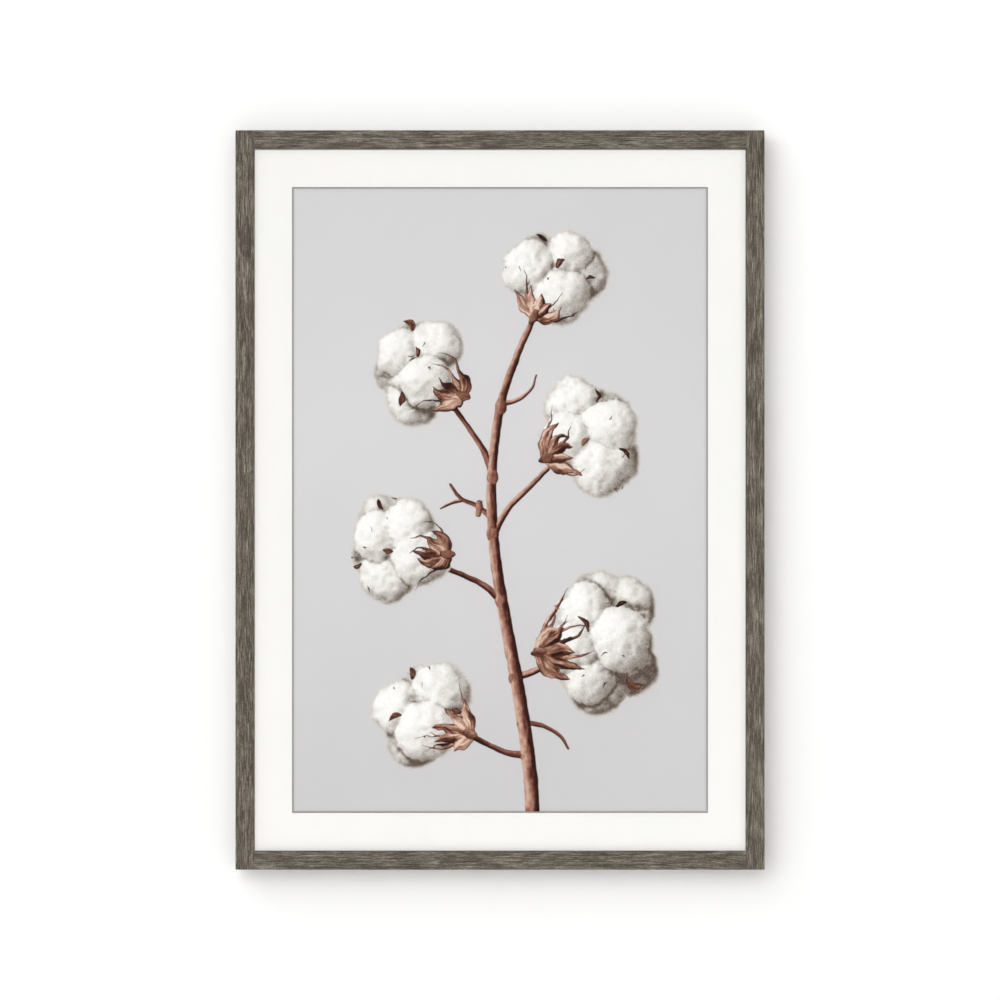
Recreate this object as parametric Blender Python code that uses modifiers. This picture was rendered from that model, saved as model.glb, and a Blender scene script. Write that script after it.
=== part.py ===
"""A framed print: a matted sheet behind glass in a butt-jointed wooden moulding, with wall hangers.

Metres, +Z up. The front looks along -Y, +X is to the right as seen from the front.
The origin is the middle of the frame, on the plane of the wall that the print hangs on.
"""
import math

import bmesh
import bpy

# Driving dimensions
FRAME_WIDTH = 0.508
FRAME_HEIGHT = 0.710
FACE_WIDTH = 0.018          # front face of the moulding
MOULDING_DEPTH = 0.025
LIP_THICKNESS = 0.0035      # front lip that holds the glass
REBATE_WIDTH = 0.005        # how far the lip reaches over the glass
WALL_GAP = 0.0055           # from the wall to the back of the moulding
WINDOW_WIDTH = 0.400        # opening cut in the mat, at its front face
WINDOW_HEIGHT = 0.602

GAP = 0.0003                # between pieces that touch
SHEET_CLEARANCE = 0.0008    # between the sheets and the wood around them
EASED_EDGE = 0.0004         # rounding of the wood's edges

GLASS_THICKNESS = 0.002
MAT_THICKNESS = 0.0014
PAPER_THICKNESS = 0.0003
TAPE_THICKNESS = 0.0003
MOUNT_THICKNESS = 0.0014
BACKING_THICKNESS = 0.0025
PRINT_OVERLAP = 0.010       # of the sheet behind the mat, on each side
TAPE_SIZE = (0.025, 0.036)
TAPE_OFFSET = 0.130         # of each tape from the middle

DOWEL_RADIUS = 0.003
DOWEL_LENGTH = 0.028
DOWEL_IN_STILE = 0.009
DOWEL_FROM_FRONT = 0.0100

FASTENER_LENGTH = 0.014
FASTENER_DEPTH = 0.007
FASTENER_SHEET = 0.0005
FASTENER_WAVE = 0.0011      # half the height of its corrugation
FASTENER_WAVES = 3

TAB_WIDTH = 0.012
TAB_IN_WOOD = 0.005
TAB_REACH = 0.011           # over the backing board
TAB_SHEET = 0.0005
TAB_HOLE_RADIUS = 0.0016
STILE_TAB_HEIGHTS = (-0.230, 0.0, 0.230)
RAIL_TAB_OFFSETS = (-0.120, 0.120)

HANGER_HEIGHT = 0.195       # of the ring's hinge, above the middle
HANGER_FROM_EDGE = 0.007
STRAP_WIDTH = 0.008
STRAP_LENGTH = 0.022
STRAP_SHEET = 0.001
STRAP_FOLD = 0.0038         # where the fold closes, below the hinge
EYE_OUTER_RADIUS = 0.0023
EYE_INNER_RADIUS = 0.0018
WIRE_RADIUS = 0.001
RING_HALF_WIDTH = 0.0056    # to the middle of the wire
RING_LEG = 0.005
RING_CORNER = 0.0012
SCREW_BELOW_RING = 0.0165
SCREW_HEAD_RADIUS = 0.0027
SCREW_HEAD_HEIGHT = 0.0017
SCREW_SHANK_RADIUS = 0.0014
SCREW_LENGTH = 0.010

BUMPER_RADIUS = 0.005
BUMPER_ABOVE_BASE = 0.032

# Sizes worked out from them
BODY_WIDTH = FACE_WIDTH - REBATE_WIDTH
HALF_WIDTH = FRAME_WIDTH / 2
HALF_HEIGHT = FRAME_HEIGHT / 2
BACK_Y = -WALL_GAP
FRONT_Y = BACK_Y - MOULDING_DEPTH
LIP_Y = FRONT_Y + LIP_THICKNESS
SHEET_WIDTH = FRAME_WIDTH - 2 * (BODY_WIDTH + SHEET_CLEARANCE)
SHEET_HEIGHT = FRAME_HEIGHT - 2 * (BODY_WIDTH + SHEET_CLEARANCE)
SHEET_DROP = SHEET_CLEARANCE - GAP      # the sheets rest on the bottom rail

QUARTER_TURN = math.pi / 2
ALONG_Z = (0.0, 0.0, 0.0)
ALONG_X = (QUARTER_TURN, 0.0, QUARTER_TURN)     # drawn in YZ, extruded along X
ALONG_Y = (QUARTER_TURN, 0.0, 0.0)              # drawn in XZ, extruded along Y
TURNED_BACK = (-QUARTER_TURN, 0.0, 0.0)         # turned about Y, top towards the wall

# name: colour, roughness, metallic, alpha
FINISHES = {
    "weathered_wood": ((0.147, 0.128, 0.106), 0.62, 0.0, 1.0),
    "dowel_wood": ((0.55, 0.40, 0.24), 0.70, 0.0, 1.0),
    "clear_glass": ((0.95, 0.97, 0.96), 0.04, 0.0, 0.10),
    "white_board": ((0.956, 0.947, 0.913), 0.85, 0.0, 1.0),
    "print_paper": ((0.66, 0.65, 0.65), 0.70, 0.0, 1.0),
    "linen_tape": ((0.80, 0.78, 0.70), 0.90, 0.0, 1.0),
    "hardboard": ((0.20, 0.120, 0.062), 0.75, 0.0, 1.0),
    "zinc_steel": ((0.62, 0.62, 0.60), 0.38, 1.0, 1.0),
    "dark_steel": ((0.16, 0.155, 0.15), 0.45, 1.0, 1.0),
    "soft_rubber": ((0.045, 0.045, 0.047), 0.60, 0.0, 1.0),
}


def clear_scene():
    for old in list(bpy.data.objects):
        bpy.data.objects.remove(old, do_unlink=True)


def new_collection(name):
    collection = bpy.data.collections.new(name)
    bpy.context.scene.collection.children.link(collection)
    return collection


clear_scene()
PARTS = new_collection("framed_print")
CUTTERS = new_collection("cutters")


def make_material(name):
    colour, roughness, metallic, alpha = FINISHES[name]
    material = bpy.data.materials.get(name) or bpy.data.materials.new(name)
    material.use_nodes = True
    shader = material.node_tree.nodes["Principled BSDF"]
    shader.inputs["Base Color"].default_value = (*colour, 1.0)
    shader.inputs["Roughness"].default_value = roughness
    shader.inputs["Metallic"].default_value = metallic
    shader.inputs["Alpha"].default_value = alpha
    material.diffuse_color = (*colour, alpha)
    return material


def place(mesh, name, location, rotation, finish):
    """Make the named sub-part; with no finish it is a cutter."""
    item = bpy.data.objects.new(name, mesh)
    item.location = location
    item.rotation_euler = rotation
    if finish:
        item.data.materials.clear()
        item.data.materials.append(make_material(finish))
        PARTS.objects.link(item)
    else:
        item.hide_render = True
        item.display_type = "WIRE"
        CUTTERS.objects.link(item)
    return item


def mesh_from_bmesh(name, work):
    mesh = bpy.data.meshes.new(name)
    work.to_mesh(mesh)
    work.free()
    return mesh


def box(name, centre, size, finish=None):
    work = bmesh.new()
    bmesh.ops.create_cube(work, size=1.0)
    bmesh.ops.scale(work, vec=size, verts=work.verts)
    return place(mesh_from_bmesh(name, work), name, centre, ALONG_Z, finish)


def cylinder(name, centre, radius, length, rotation, finish=None, sides=24):
    work = bmesh.new()
    bmesh.ops.create_cone(work, cap_ends=True, segments=sides, radius1=radius, radius2=radius, depth=length)
    mesh = mesh_from_bmesh(name, work)
    mesh.shade_smooth()
    mesh.set_sharp_from_angle(angle=math.radians(40))
    return place(mesh, name, centre, rotation, finish)


def extrusion(name, outlines, length, centre, rotation, finish=None):
    """Fill flat outlines, the first with the others as holes, and extrude them to both sides."""
    curve = bpy.data.curves.new(name, "CURVE")
    curve.dimensions = "2D"
    curve.fill_mode = "BOTH"
    curve.extrude = length / 2
    for outline in outlines:
        spline = curve.splines.new("POLY")
        spline.points.add(len(outline) - 1)
        spline.use_cyclic_u = True
        for point, (x, y) in zip(spline.points, outline):
            point.co = (x, y, 0.0, 1.0)
    guide = bpy.data.objects.new(name + "_outline", curve)
    CUTTERS.objects.link(guide)
    evaluated = guide.evaluated_get(bpy.context.evaluated_depsgraph_get())
    mesh = bpy.data.meshes.new_from_object(evaluated)
    bpy.data.objects.remove(guide, do_unlink=True)
    work = bmesh.new()
    work.from_mesh(mesh)
    bmesh.ops.remove_doubles(work, verts=work.verts, dist=1e-6)
    bmesh.ops.recalc_face_normals(work, faces=work.faces)
    work.to_mesh(mesh)
    work.free()
    mesh.shade_flat()
    return place(mesh, name, centre, rotation, finish)


def turning(name, profile, centre, rotation, finish, steps=32):
    """Turn a profile, given from the top of the axis down its outer side, about local Z."""
    mesh = bpy.data.meshes.new(name)
    edges = [(index, index + 1) for index in range(len(profile) - 1)]
    mesh.from_pydata([(radius, 0.0, height) for radius, height in profile], edges, [])
    item = place(mesh, name, centre, rotation, finish)
    turn = item.modifiers.new("turn", "SCREW")
    turn.axis = "Z"
    turn.steps = steps
    turn.render_steps = steps
    turn.use_merge_vertices = True
    turn.merge_threshold = 1e-5
    turn.use_smooth_shade = True
    return item


def ease_edges(item, width=EASED_EDGE, segments=2):
    bevel = item.modifiers.new("eased_edges", "BEVEL")
    bevel.width = width
    bevel.segments = segments
    bevel.limit_method = "ANGLE"
    bevel.angle_limit = math.radians(50)


def cut(item, cutter):
    boolean = item.modifiers.new("cut_" + cutter.name, "BOOLEAN")
    boolean.operation = "DIFFERENCE"
    boolean.solver = "EXACT"
    boolean.object = cutter


def arc(centre, radius, start, end, steps):
    """Points on an arc, angles in degrees, both ends included."""
    points = []
    for step in range(steps + 1):
        angle = math.radians(start + (end - start) * step / steps)
        points.append((centre[0] + radius * math.cos(angle), centre[1] + radius * math.sin(angle)))
    return points


# The moulding

def make_stile(name, side):
    """An upright as tall as the frame: an L section whose lip points to the middle."""
    outer = side * HALF_WIDTH
    body = side * (HALF_WIDTH - BODY_WIDTH)
    lip = side * (HALF_WIDTH - FACE_WIDTH)
    section = [(outer, FRONT_Y), (outer, BACK_Y), (body, BACK_Y), (body, LIP_Y), (lip, LIP_Y), (lip, FRONT_Y)]
    stile = extrusion(name, [section], FRAME_HEIGHT, (0, 0, 0), ALONG_Z, "weathered_wood")
    ease_edges(stile)
    return stile


def make_rail(name, end):
    """A cross piece: its face stops at the stiles' lips, its body reaches behind them."""
    outer = end * HALF_HEIGHT
    body = end * (HALF_HEIGHT - BODY_WIDTH)
    lip = end * (HALF_HEIGHT - FACE_WIDTH)
    section = [(FRONT_Y, outer), (BACK_Y, outer), (BACK_Y, body), (LIP_Y, body), (LIP_Y, lip), (FRONT_Y, lip)]
    length = FRAME_WIDTH - 2 * (BODY_WIDTH + GAP)
    rail = extrusion(name, [section], length, (0, 0, 0), ALONG_X, "weathered_wood")
    ease_edges(rail)
    for side in (-1, 1):
        waste = 0.010
        inner = HALF_WIDTH - FACE_WIDTH - GAP
        depth = LIP_THICKNESS + GAP + waste
        centre_y = LIP_Y + GAP - depth / 2
        centre = (side * (inner + waste / 2), centre_y, end * (HALF_HEIGHT - FACE_WIDTH / 2))
        cut(rail, box(f"{name}_shoulder_{side}", centre, (waste, depth, FACE_WIDTH + waste)))
    return rail


def make_dowel(name, side, end, stile, rail):
    inner = HALF_WIDTH - BODY_WIDTH + DOWEL_IN_STILE
    x = side * (inner - DOWEL_LENGTH / 2)
    centre = (x, FRONT_Y + DOWEL_FROM_FRONT, end * (HALF_HEIGHT - BODY_WIDTH / 2))
    dowel = cylinder(name, centre, DOWEL_RADIUS, DOWEL_LENGTH, ALONG_X, "dowel_wood")
    ease_edges(dowel, width=0.0006, segments=1)
    hole = cylinder(name + "_hole", centre, DOWEL_RADIUS + GAP, DOWEL_LENGTH + 2 * GAP, ALONG_X)
    cut(stile, hole)
    cut(rail, hole)


def wave_outline(length, thickness, steps=30):
    """A corrugated strip seen from its edge."""
    upper = []
    lower = []
    for step in range(steps + 1):
        share = step / steps
        phase = 2 * math.pi * FASTENER_WAVES * share
        slope = FASTENER_WAVE * math.cos(phase) * 2 * math.pi * FASTENER_WAVES / length
        scale = thickness / 2 / math.hypot(1.0, slope)
        x = (share - 0.5) * length
        y = FASTENER_WAVE * math.sin(phase)
        upper.append((x - slope * scale, y + scale))
        lower.append((x + slope * scale, y - scale))
    return upper + lower[::-1]


def make_corner_fastener(name, side, end, stile, rail):
    """A corrugated nail driven flush with the back, across the joint."""
    x = side * (HALF_WIDTH - BODY_WIDTH - GAP / 2)
    z = end * (HALF_HEIGHT - BODY_WIDTH / 2)
    centre = (x, BACK_Y - GAP - FASTENER_DEPTH / 2, z)
    strip = wave_outline(FASTENER_LENGTH, FASTENER_SHEET)
    extrusion(name, [strip], FASTENER_DEPTH, centre, ALONG_Y, "dark_steel")
    slot = wave_outline(FASTENER_LENGTH + 2 * GAP, FASTENER_SHEET + 2 * GAP)
    slot_depth = FASTENER_DEPTH + 4 * GAP
    slot_cutter = extrusion(name + "_slot", [slot], slot_depth, centre, ALONG_Y)
    cut(stile, slot_cutter)
    cut(rail, slot_cutter)


# The sheets behind the lip, from the front to the back

def make_sheet(name, front, thickness, width, height, drop, finish):
    return box(name, (0, front + thickness / 2, -drop), (width, thickness, height), finish)


def make_window_mat(front):
    mat = make_sheet("window_mat", front, MAT_THICKNESS, SHEET_WIDTH, SHEET_HEIGHT, SHEET_DROP, "white_board")
    spare = 0.001
    work = bmesh.new()
    bmesh.ops.create_cube(work, size=1.0)
    bmesh.ops.scale(work, vec=(1.0, MAT_THICKNESS + 2 * spare, 1.0), verts=work.verts)
    for vert in work.verts:
        slant = spare if vert.co.y < 0 else -(MAT_THICKNESS + spare)
        vert.co.x *= WINDOW_WIDTH + 2 * slant
        vert.co.z *= WINDOW_HEIGHT + 2 * slant
    mesh = mesh_from_bmesh("window_cutter", work)
    cut(mat, place(mesh, "window_cutter", (0, front + MAT_THICKNESS / 2, 0), ALONG_Z, None))


def make_hinge_tapes(front, print_height):
    """Two strips, stuck half to the back of the sheet and half to the board behind it."""
    width, height = TAPE_SIZE
    for label, side in (("left", -1), ("right", 1)):
        centre = (side * TAPE_OFFSET, front + TAPE_THICKNESS / 2, print_height / 2)
        box(f"hinge_tape_{label}", centre, (width, TAPE_THICKNESS, height), "linen_tape")


def make_sheets():
    """Return the plane of the backing board's back."""
    front = LIP_Y + GAP
    make_sheet("glazing", front, GLASS_THICKNESS, SHEET_WIDTH, SHEET_HEIGHT, SHEET_DROP, "clear_glass")
    front += GLASS_THICKNESS + GAP
    make_window_mat(front)
    front += MAT_THICKNESS + GAP
    print_width = WINDOW_WIDTH + 2 * PRINT_OVERLAP
    print_height = WINDOW_HEIGHT + 2 * PRINT_OVERLAP
    make_sheet("print_sheet", front, PAPER_THICKNESS, print_width, print_height, 0.0, "print_paper")
    front += PAPER_THICKNESS + GAP
    make_hinge_tapes(front, print_height)
    front += TAPE_THICKNESS + GAP
    make_sheet("mount_board", front, MOUNT_THICKNESS, SHEET_WIDTH, SHEET_HEIGHT, SHEET_DROP, "white_board")
    front += MOUNT_THICKNESS + GAP
    make_sheet("backing_board", front, BACKING_THICKNESS, SHEET_WIDTH, SHEET_HEIGHT, SHEET_DROP, "hardboard")
    return front + BACKING_THICKNESS


# The tabs that hold the sheets in

def tab_outline():
    """Drawn with the wood's face at zero: the buried end is square, the free end is round."""
    round_radius = TAB_WIDTH * 0.42
    free_end = TAB_REACH - round_radius
    half = TAB_WIDTH / 2
    outline = [(-TAB_IN_WOOD, half), (-TAB_IN_WOOD, -half)]
    outline += arc((free_end, -half + round_radius), round_radius, -90, 0, 5)
    outline += arc((free_end, half - round_radius), round_radius, 0, 90, 5)
    return outline


def make_tab(name, wood, wood_face, along, direction, plane_y):
    """direction is the way from the wood to the middle, as (x, z)."""
    across_x, across_z = direction
    centre = (wood_face * abs(across_x) + along * abs(across_z), plane_y,
              wood_face * abs(across_z) + along * abs(across_x))
    turn = math.atan2(across_z, across_x)
    rotation = (QUARTER_TURN, -turn, 0.0)
    hole = arc((TAB_REACH * 0.55, 0.0), TAB_HOLE_RADIUS, 0, 330, 11)
    extrusion(name, [tab_outline(), hole], TAB_SHEET, centre, rotation, "dark_steel")
    mouth = 0.001
    slot_depth = TAB_IN_WOOD + GAP + mouth
    shift = mouth - slot_depth / 2
    slot_centre = (centre[0] + across_x * shift, plane_y, centre[2] + across_z * shift)
    slot_width = TAB_WIDTH + 2 * GAP
    size = (slot_depth * abs(across_x) + slot_width * abs(across_z), TAB_SHEET + 2 * GAP,
            slot_depth * abs(across_z) + slot_width * abs(across_x))
    cut(wood, box(name + "_slot", slot_centre, size))


def make_tabs(stiles, rails, board_back):
    plane_y = board_back + GAP + TAB_SHEET / 2
    for label, side in (("left", -1), ("right", 1)):
        face = side * (HALF_WIDTH - BODY_WIDTH)
        for number, height in enumerate(STILE_TAB_HEIGHTS, start=1):
            make_tab(f"tab_{label}_{number}", stiles[side], face, height, (-side, 0), plane_y)
    for label, end in (("bottom", -1), ("top", 1)):
        face = end * (HALF_HEIGHT - BODY_WIDTH)
        for number, offset in enumerate(RAIL_TAB_OFFSETS, start=1):
            make_tab(f"tab_{label}_{number}", rails[end], face, offset, (0, -end), plane_y)


# The hangers and bumpers on the back

def strap_section():
    """The folded strap from its edge, as (depth from the frame's back, height from the hinge)."""
    back = GAP
    eye = (back + EYE_OUTER_RADIUS, 0.0)
    outer = arc(eye, EYE_OUTER_RADIUS, 180, -50, 18)
    outline = [(back, -STRAP_LENGTH)] + outer
    outline += [(back + STRAP_SHEET, -STRAP_FOLD), (back + STRAP_SHEET, -STRAP_LENGTH)]
    return [outline, arc(eye, EYE_INNER_RADIUS, 0, 345, 23)]


def make_strap(name, x):
    strap = extrusion(name, strap_section(), STRAP_WIDTH, (x, BACK_Y, HANGER_HEIGHT), ALONG_X, "zinc_steel")
    half = STRAP_WIDTH / 2
    rim = 0.002
    lowest = -STRAP_LENGTH
    tip = arc((0.0, lowest + half), half, -180, 0, 12)
    waste = [(-half - rim, lowest + half), (-half - rim, lowest - rim), (half + rim, lowest - rim),
             (half + rim, lowest + half)] + tip[::-1]
    cutter_centre = (x, BACK_Y + GAP + STRAP_SHEET / 2, HANGER_HEIGHT)
    cut(strap, extrusion(name + "_tip", [waste], 3 * STRAP_SHEET, cutter_centre, ALONG_Y))
    hole_centre = (x, cutter_centre[1], HANGER_HEIGHT - SCREW_BELOW_RING)
    hole_radius = SCREW_SHANK_RADIUS + GAP
    cut(strap, cylinder(name + "_hole", hole_centre, hole_radius, 3 * STRAP_SHEET, TURNED_BACK))


def make_ring(name, x):
    """A wire D, hanging down from the strap's eye, with its origin on the hinge's axis."""
    corner = RING_HALF_WIDTH - RING_CORNER
    right = arc((corner, -RING_CORNER), RING_CORNER, 90, 0, 3)
    left = [(-px, py) for px, py in reversed(right)]
    path = right + arc((0.0, -RING_LEG), RING_HALF_WIDTH, 0, -180, 14) + left
    curve = bpy.data.curves.new(name, "CURVE")
    curve.dimensions = "3D"
    curve.bevel_depth = WIRE_RADIUS
    curve.bevel_resolution = 2
    spline = curve.splines.new("POLY")
    spline.points.add(len(path) - 1)
    spline.use_cyclic_u = True
    for point, (px, py) in zip(spline.points, path):
        point.co = (px, py, 0.0, 1.0)
    hinge_y = BACK_Y + GAP + EYE_OUTER_RADIUS
    place(curve, name, (x, hinge_y, HANGER_HEIGHT), ALONG_Y, "zinc_steel")


def make_hanger_screw(name, x, stile):
    """A pan-head wood screw with a crossed slot."""
    head = [(0.0, 1.0), (0.45, 0.97), (0.75, 0.82), (0.93, 0.55), (1.0, 0.20), (0.97, 0.0)]
    profile = [(radius * SCREW_HEAD_RADIUS, height * SCREW_HEAD_HEIGHT) for radius, height in head]
    point_height = -SCREW_LENGTH
    taper_height = point_height + 2 * SCREW_SHANK_RADIUS
    profile += [(SCREW_SHANK_RADIUS, 0.0), (SCREW_SHANK_RADIUS, taper_height), (0.0, point_height)]
    z = HANGER_HEIGHT - SCREW_BELOW_RING
    seat_y = BACK_Y + STRAP_SHEET + 2 * GAP
    screw = turning(name, profile, (x, seat_y, z), TURNED_BACK, "zinc_steel", steps=20)
    slot_depth = 0.0010
    slot_centre = (x, seat_y + SCREW_HEAD_HEIGHT, z)
    for letter, size in (("a", (0.0030, 2 * slot_depth, 0.0007)), ("b", (0.0007, 2 * slot_depth, 0.0030))):
        cut(screw, box(f"{name}_slot_{letter}", slot_centre, size))
    hole_length = SCREW_LENGTH + GAP
    hole_centre = (x, seat_y - hole_length / 2, z)
    cut(stile, cylinder(name + "_pilot", hole_centre, SCREW_SHANK_RADIUS + GAP, hole_length, TURNED_BACK, sides=16))


def make_bumper(name, side):
    """A soft stick-on foot that keeps the lower edge off the wall."""
    height = WALL_GAP - GAP
    round_radius = 0.0012
    profile = [(0.0, height)]
    profile += arc((BUMPER_RADIUS - round_radius, height - round_radius), round_radius, 90, 0, 4)
    profile += [(BUMPER_RADIUS, 0.0), (0.0, 0.0)]
    centre = (side * (HALF_WIDTH - BODY_WIDTH / 2), BACK_Y + GAP, -HALF_HEIGHT + BUMPER_ABOVE_BASE)
    turning(name, profile, centre, TURNED_BACK, "soft_rubber", steps=28)


def build():
    stiles = {-1: make_stile("left_stile", -1), 1: make_stile("right_stile", 1)}
    rails = {-1: make_rail("bottom_rail", -1), 1: make_rail("top_rail", 1)}
    for side_label, side in (("left", -1), ("right", 1)):
        for end_label, end in (("bottom", -1), ("top", 1)):
            corner = f"{end_label}_{side_label}"
            make_dowel("dowel_" + corner, side, end, stiles[side], rails[end])
            make_corner_fastener("corner_nail_" + corner, side, end, stiles[side], rails[end])
    board_back = make_sheets()
    make_tabs(stiles, rails, board_back)
    for label, side in (("left", -1), ("right", 1)):
        x = side * (HALF_WIDTH - HANGER_FROM_EDGE)
        make_strap(f"hanger_strap_{label}", x)
        make_ring(f"hanger_ring_{label}", x)
        make_hanger_screw(f"hanger_screw_{label}", x, stiles[side])
        make_bumper(f"bumper_{label}", side)


build()
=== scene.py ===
# %% [markdown]
# # A framed cotton print, dressed piece by piece
# The real object is a sheet with a picture of a cotton branch, behind a white window mat and glass,
# in a butt-jointed wooden moulding. The CAD model gives every size, so it is loaded first and is
# never changed. Each later step either makes a finer piece that stands for a CAD node, or paints a
# CAD node where it is. Positions are read from the nodes' boxes, so nothing has to be fitted by eye.

# %% Load the frame
import math

import bmesh
import bpy
import numpy as np
from mathutils import Matrix, Vector
from mathutils.geometry import delaunay_2d_cdt


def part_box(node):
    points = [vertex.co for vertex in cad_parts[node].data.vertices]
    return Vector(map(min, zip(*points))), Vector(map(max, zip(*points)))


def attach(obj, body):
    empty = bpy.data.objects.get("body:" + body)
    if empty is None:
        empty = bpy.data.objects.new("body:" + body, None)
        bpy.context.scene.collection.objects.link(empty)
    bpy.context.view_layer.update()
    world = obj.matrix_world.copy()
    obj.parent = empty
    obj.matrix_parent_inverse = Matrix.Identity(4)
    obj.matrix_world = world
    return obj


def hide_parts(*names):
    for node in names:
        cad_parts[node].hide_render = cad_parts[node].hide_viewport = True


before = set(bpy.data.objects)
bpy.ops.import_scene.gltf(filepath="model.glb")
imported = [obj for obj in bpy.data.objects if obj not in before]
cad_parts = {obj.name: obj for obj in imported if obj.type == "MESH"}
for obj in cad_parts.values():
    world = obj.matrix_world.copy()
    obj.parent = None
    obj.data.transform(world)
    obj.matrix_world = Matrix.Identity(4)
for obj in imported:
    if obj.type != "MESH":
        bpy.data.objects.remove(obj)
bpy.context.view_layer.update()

# %% [markdown]
# ## The sizes that the pieces share
# A frame maker works from a few numbers: how big the frame is, how wide its face is, and how deep the
# rebate that holds the sheets is. They could be typed again here, but two lists of sizes drift apart.
# They are read off the CAD nodes instead, so one source stays in charge.

# %% Read the sizes off the nodes
MM = 0.001
FIT = 0.3 * MM                                   # the gap that the CAD leaves between touching pieces
stile_low, stile_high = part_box("left_stile")
_, rail_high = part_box("top_rail")
glass_low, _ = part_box("glazing")
sheet_low, sheet_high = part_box("print_sheet")
HALF_WIDTH = -stile_low.x
HALF_HEIGHT = stile_high.z
FRONT_Y = stile_low.y
BACK_Y = stile_high.y
FACE_WIDTH = stile_high.x - stile_low.x
BODY_WIDTH = HALF_WIDTH - FIT - rail_high.x
LIP_THICKNESS = glass_low.y - FIT - FRONT_Y
MOULDING_DEPTH = BACK_Y - FRONT_Y
print("frame", round(2000 * HALF_WIDTH, 1), "x", round(2000 * HALF_HEIGHT, 1), "mm, face",
      round(1000 * FACE_WIDTH, 2), "body", round(1000 * BODY_WIDTH, 2), "lip", round(1000 * LIP_THICKNESS, 2))

# %% [markdown]
# ## Camera
# The print is seen square on, with no converging lines. An orthographic camera would do that, but a
# long lens far away gives nearly the same and still shows a little of the rebate's inner sides, as an
# eye does. The distance follows from how much of the view's width the frame fills.

# %% Place the camera
FRAME_SHARE = 0.5291                             # of the view's width
camera_data = bpy.data.cameras.new("camera")
camera_data.lens = 135.0
camera_data.sensor_width = 36.0
view_width = 2 * HALF_WIDTH / FRAME_SHARE
camera_distance = view_width * camera_data.lens / camera_data.sensor_width
camera = bpy.data.objects.new("camera", camera_data)
camera.location = (0.0, FRONT_Y - camera_distance, 0.0)
camera.rotation_euler = (math.pi / 2, 0.0, 0.0)
bpy.context.scene.collection.objects.link(camera)
bpy.context.scene.camera = camera
print("camera", round(camera_distance, 3), "m away")

# %% [markdown]
# ## Small helpers for node trees
# Every finish below is a tree of nodes. Typed out one by one they hide the idea, so short helpers
# carry the routine: they add a node and fill its inputs, do arithmetic, map a range or lay noise. A
# node's output knows its own tree, so only the first node of a chain has to be told which tree it is.
# A colour is given the way a paint chart gives it, from 0 to 255, and turned to linear light here.

# %% Node helpers
def fill(node, inputs):
    """Set a node's inputs; each may be a value or another node's output."""
    for name, value in inputs.items():
        if isinstance(value, bpy.types.NodeSocket):
            node.id_data.links.new(value, node.inputs[name])
        else:
            node.inputs[name].default_value = value


def add(tree, kind, inputs=None, **settings):
    node = tree.nodes.new(kind)
    for name, value in settings.items():
        setattr(node, name, value)
    fill(node, inputs or {})
    return node


def out(tree, kind, inputs=None, **settings):
    """Add a node and return its first output."""
    return add(tree, kind, inputs, **settings).outputs[0]


def tree_of(*values):
    """The tree of the first of these values that is a node's output."""
    return next(value.id_data for value in values if isinstance(value, bpy.types.NodeSocket))


def calc(operation, *values):
    return out(tree_of(*values), "ShaderNodeMath", dict(enumerate(values)), operation=operation)


def vector_calc(operation, first, other):
    inputs = {0: first, "Scale" if operation == "SCALE" else 1: other}
    return out(first.id_data, "ShaderNodeVectorMath", inputs, operation=operation)


def remap(value, low, high, to_low=0.0, to_high=1.0, smooth=True):
    limits = {"Value": value, "From Min": low, "From Max": high, "To Min": to_low, "To Max": to_high}
    ease = "SMOOTHSTEP" if smooth else "LINEAR"
    return out(value.id_data, "ShaderNodeMapRange", limits, interpolation_type=ease)


def swing(value, amount, about=0.0):
    """Turn a value about 0.5 into one about another number, amount times as lively."""
    return calc("MULTIPLY_ADD", calc("SUBTRACT", value, 0.5), amount, about)


def place_in(tree):
    return add(tree, "ShaderNodeTexCoord").outputs["Object"]


def split(vector):
    return add(vector.id_data, "ShaderNodeSeparateXYZ", {"Vector": vector}).outputs


def join(x, y, z):
    return out(tree_of(x, y, z), "ShaderNodeCombineXYZ", {"X": x, "Y": y, "Z": z})


def noise(place, scale, detail, roughness=0.5, distortion=0.0, stretch=None, **settings):
    """Noise about 0.5; stretch makes its grains longer where it is below 1."""
    tree = place.id_data
    if stretch:
        place = out(tree, "ShaderNodeMapping", {"Vector": place, "Scale": stretch})
    inputs = {"Vector": place, "Scale": scale, "Detail": detail, "Roughness": roughness,
              "Distortion": distortion}
    return out(tree, "ShaderNodeTexNoise", inputs, **settings)


def seeded_noise(place, seed, *amounts):
    """Noise of unit scale, another one for each seed; amounts are those after the scale."""
    value = noise(place, 1.0, *amounts, noise_dimensions="4D")
    fill(value.node, {"W": seed})
    return value


print("node helpers ready")

# %% Colour helpers
def chart(red, green, blue):
    """A paint chart's colour, 0 to 255, as linear light."""
    linear = [(part / 255 / 12.92) if part < 10.5 else ((part / 255 + 0.055) / 1.055) ** 2.4
              for part in (red, green, blue)]
    return (*linear, 1.0)


def blend(share, first, second, how="MIX"):
    inputs = {0: share, 6: first, 7: second}
    return add(share.id_data, "ShaderNodeMix", inputs, data_type="RGBA", blend_type=how).outputs[2]


def colour_ramp(value, *stops):
    """A ramp; each stop is its position and its chart colour."""
    node = add(value.id_data, "ShaderNodeValToRGB", {"Fac": value})
    elements = node.color_ramp.elements
    while len(elements) < len(stops):
        elements.new(0.5)
    for element, (position, *colour) in zip(elements, stops):
        element.position = position
        element.color = chart(*colour)
    return node.outputs["Color"]


def new_material(name):
    """An empty material with one Principled shader, returned with its tree and that shader."""
    material = bpy.data.materials.new(name)
    material.use_nodes = True
    return material, material.node_tree, material.node_tree.nodes["Principled BSDF"]


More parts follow.
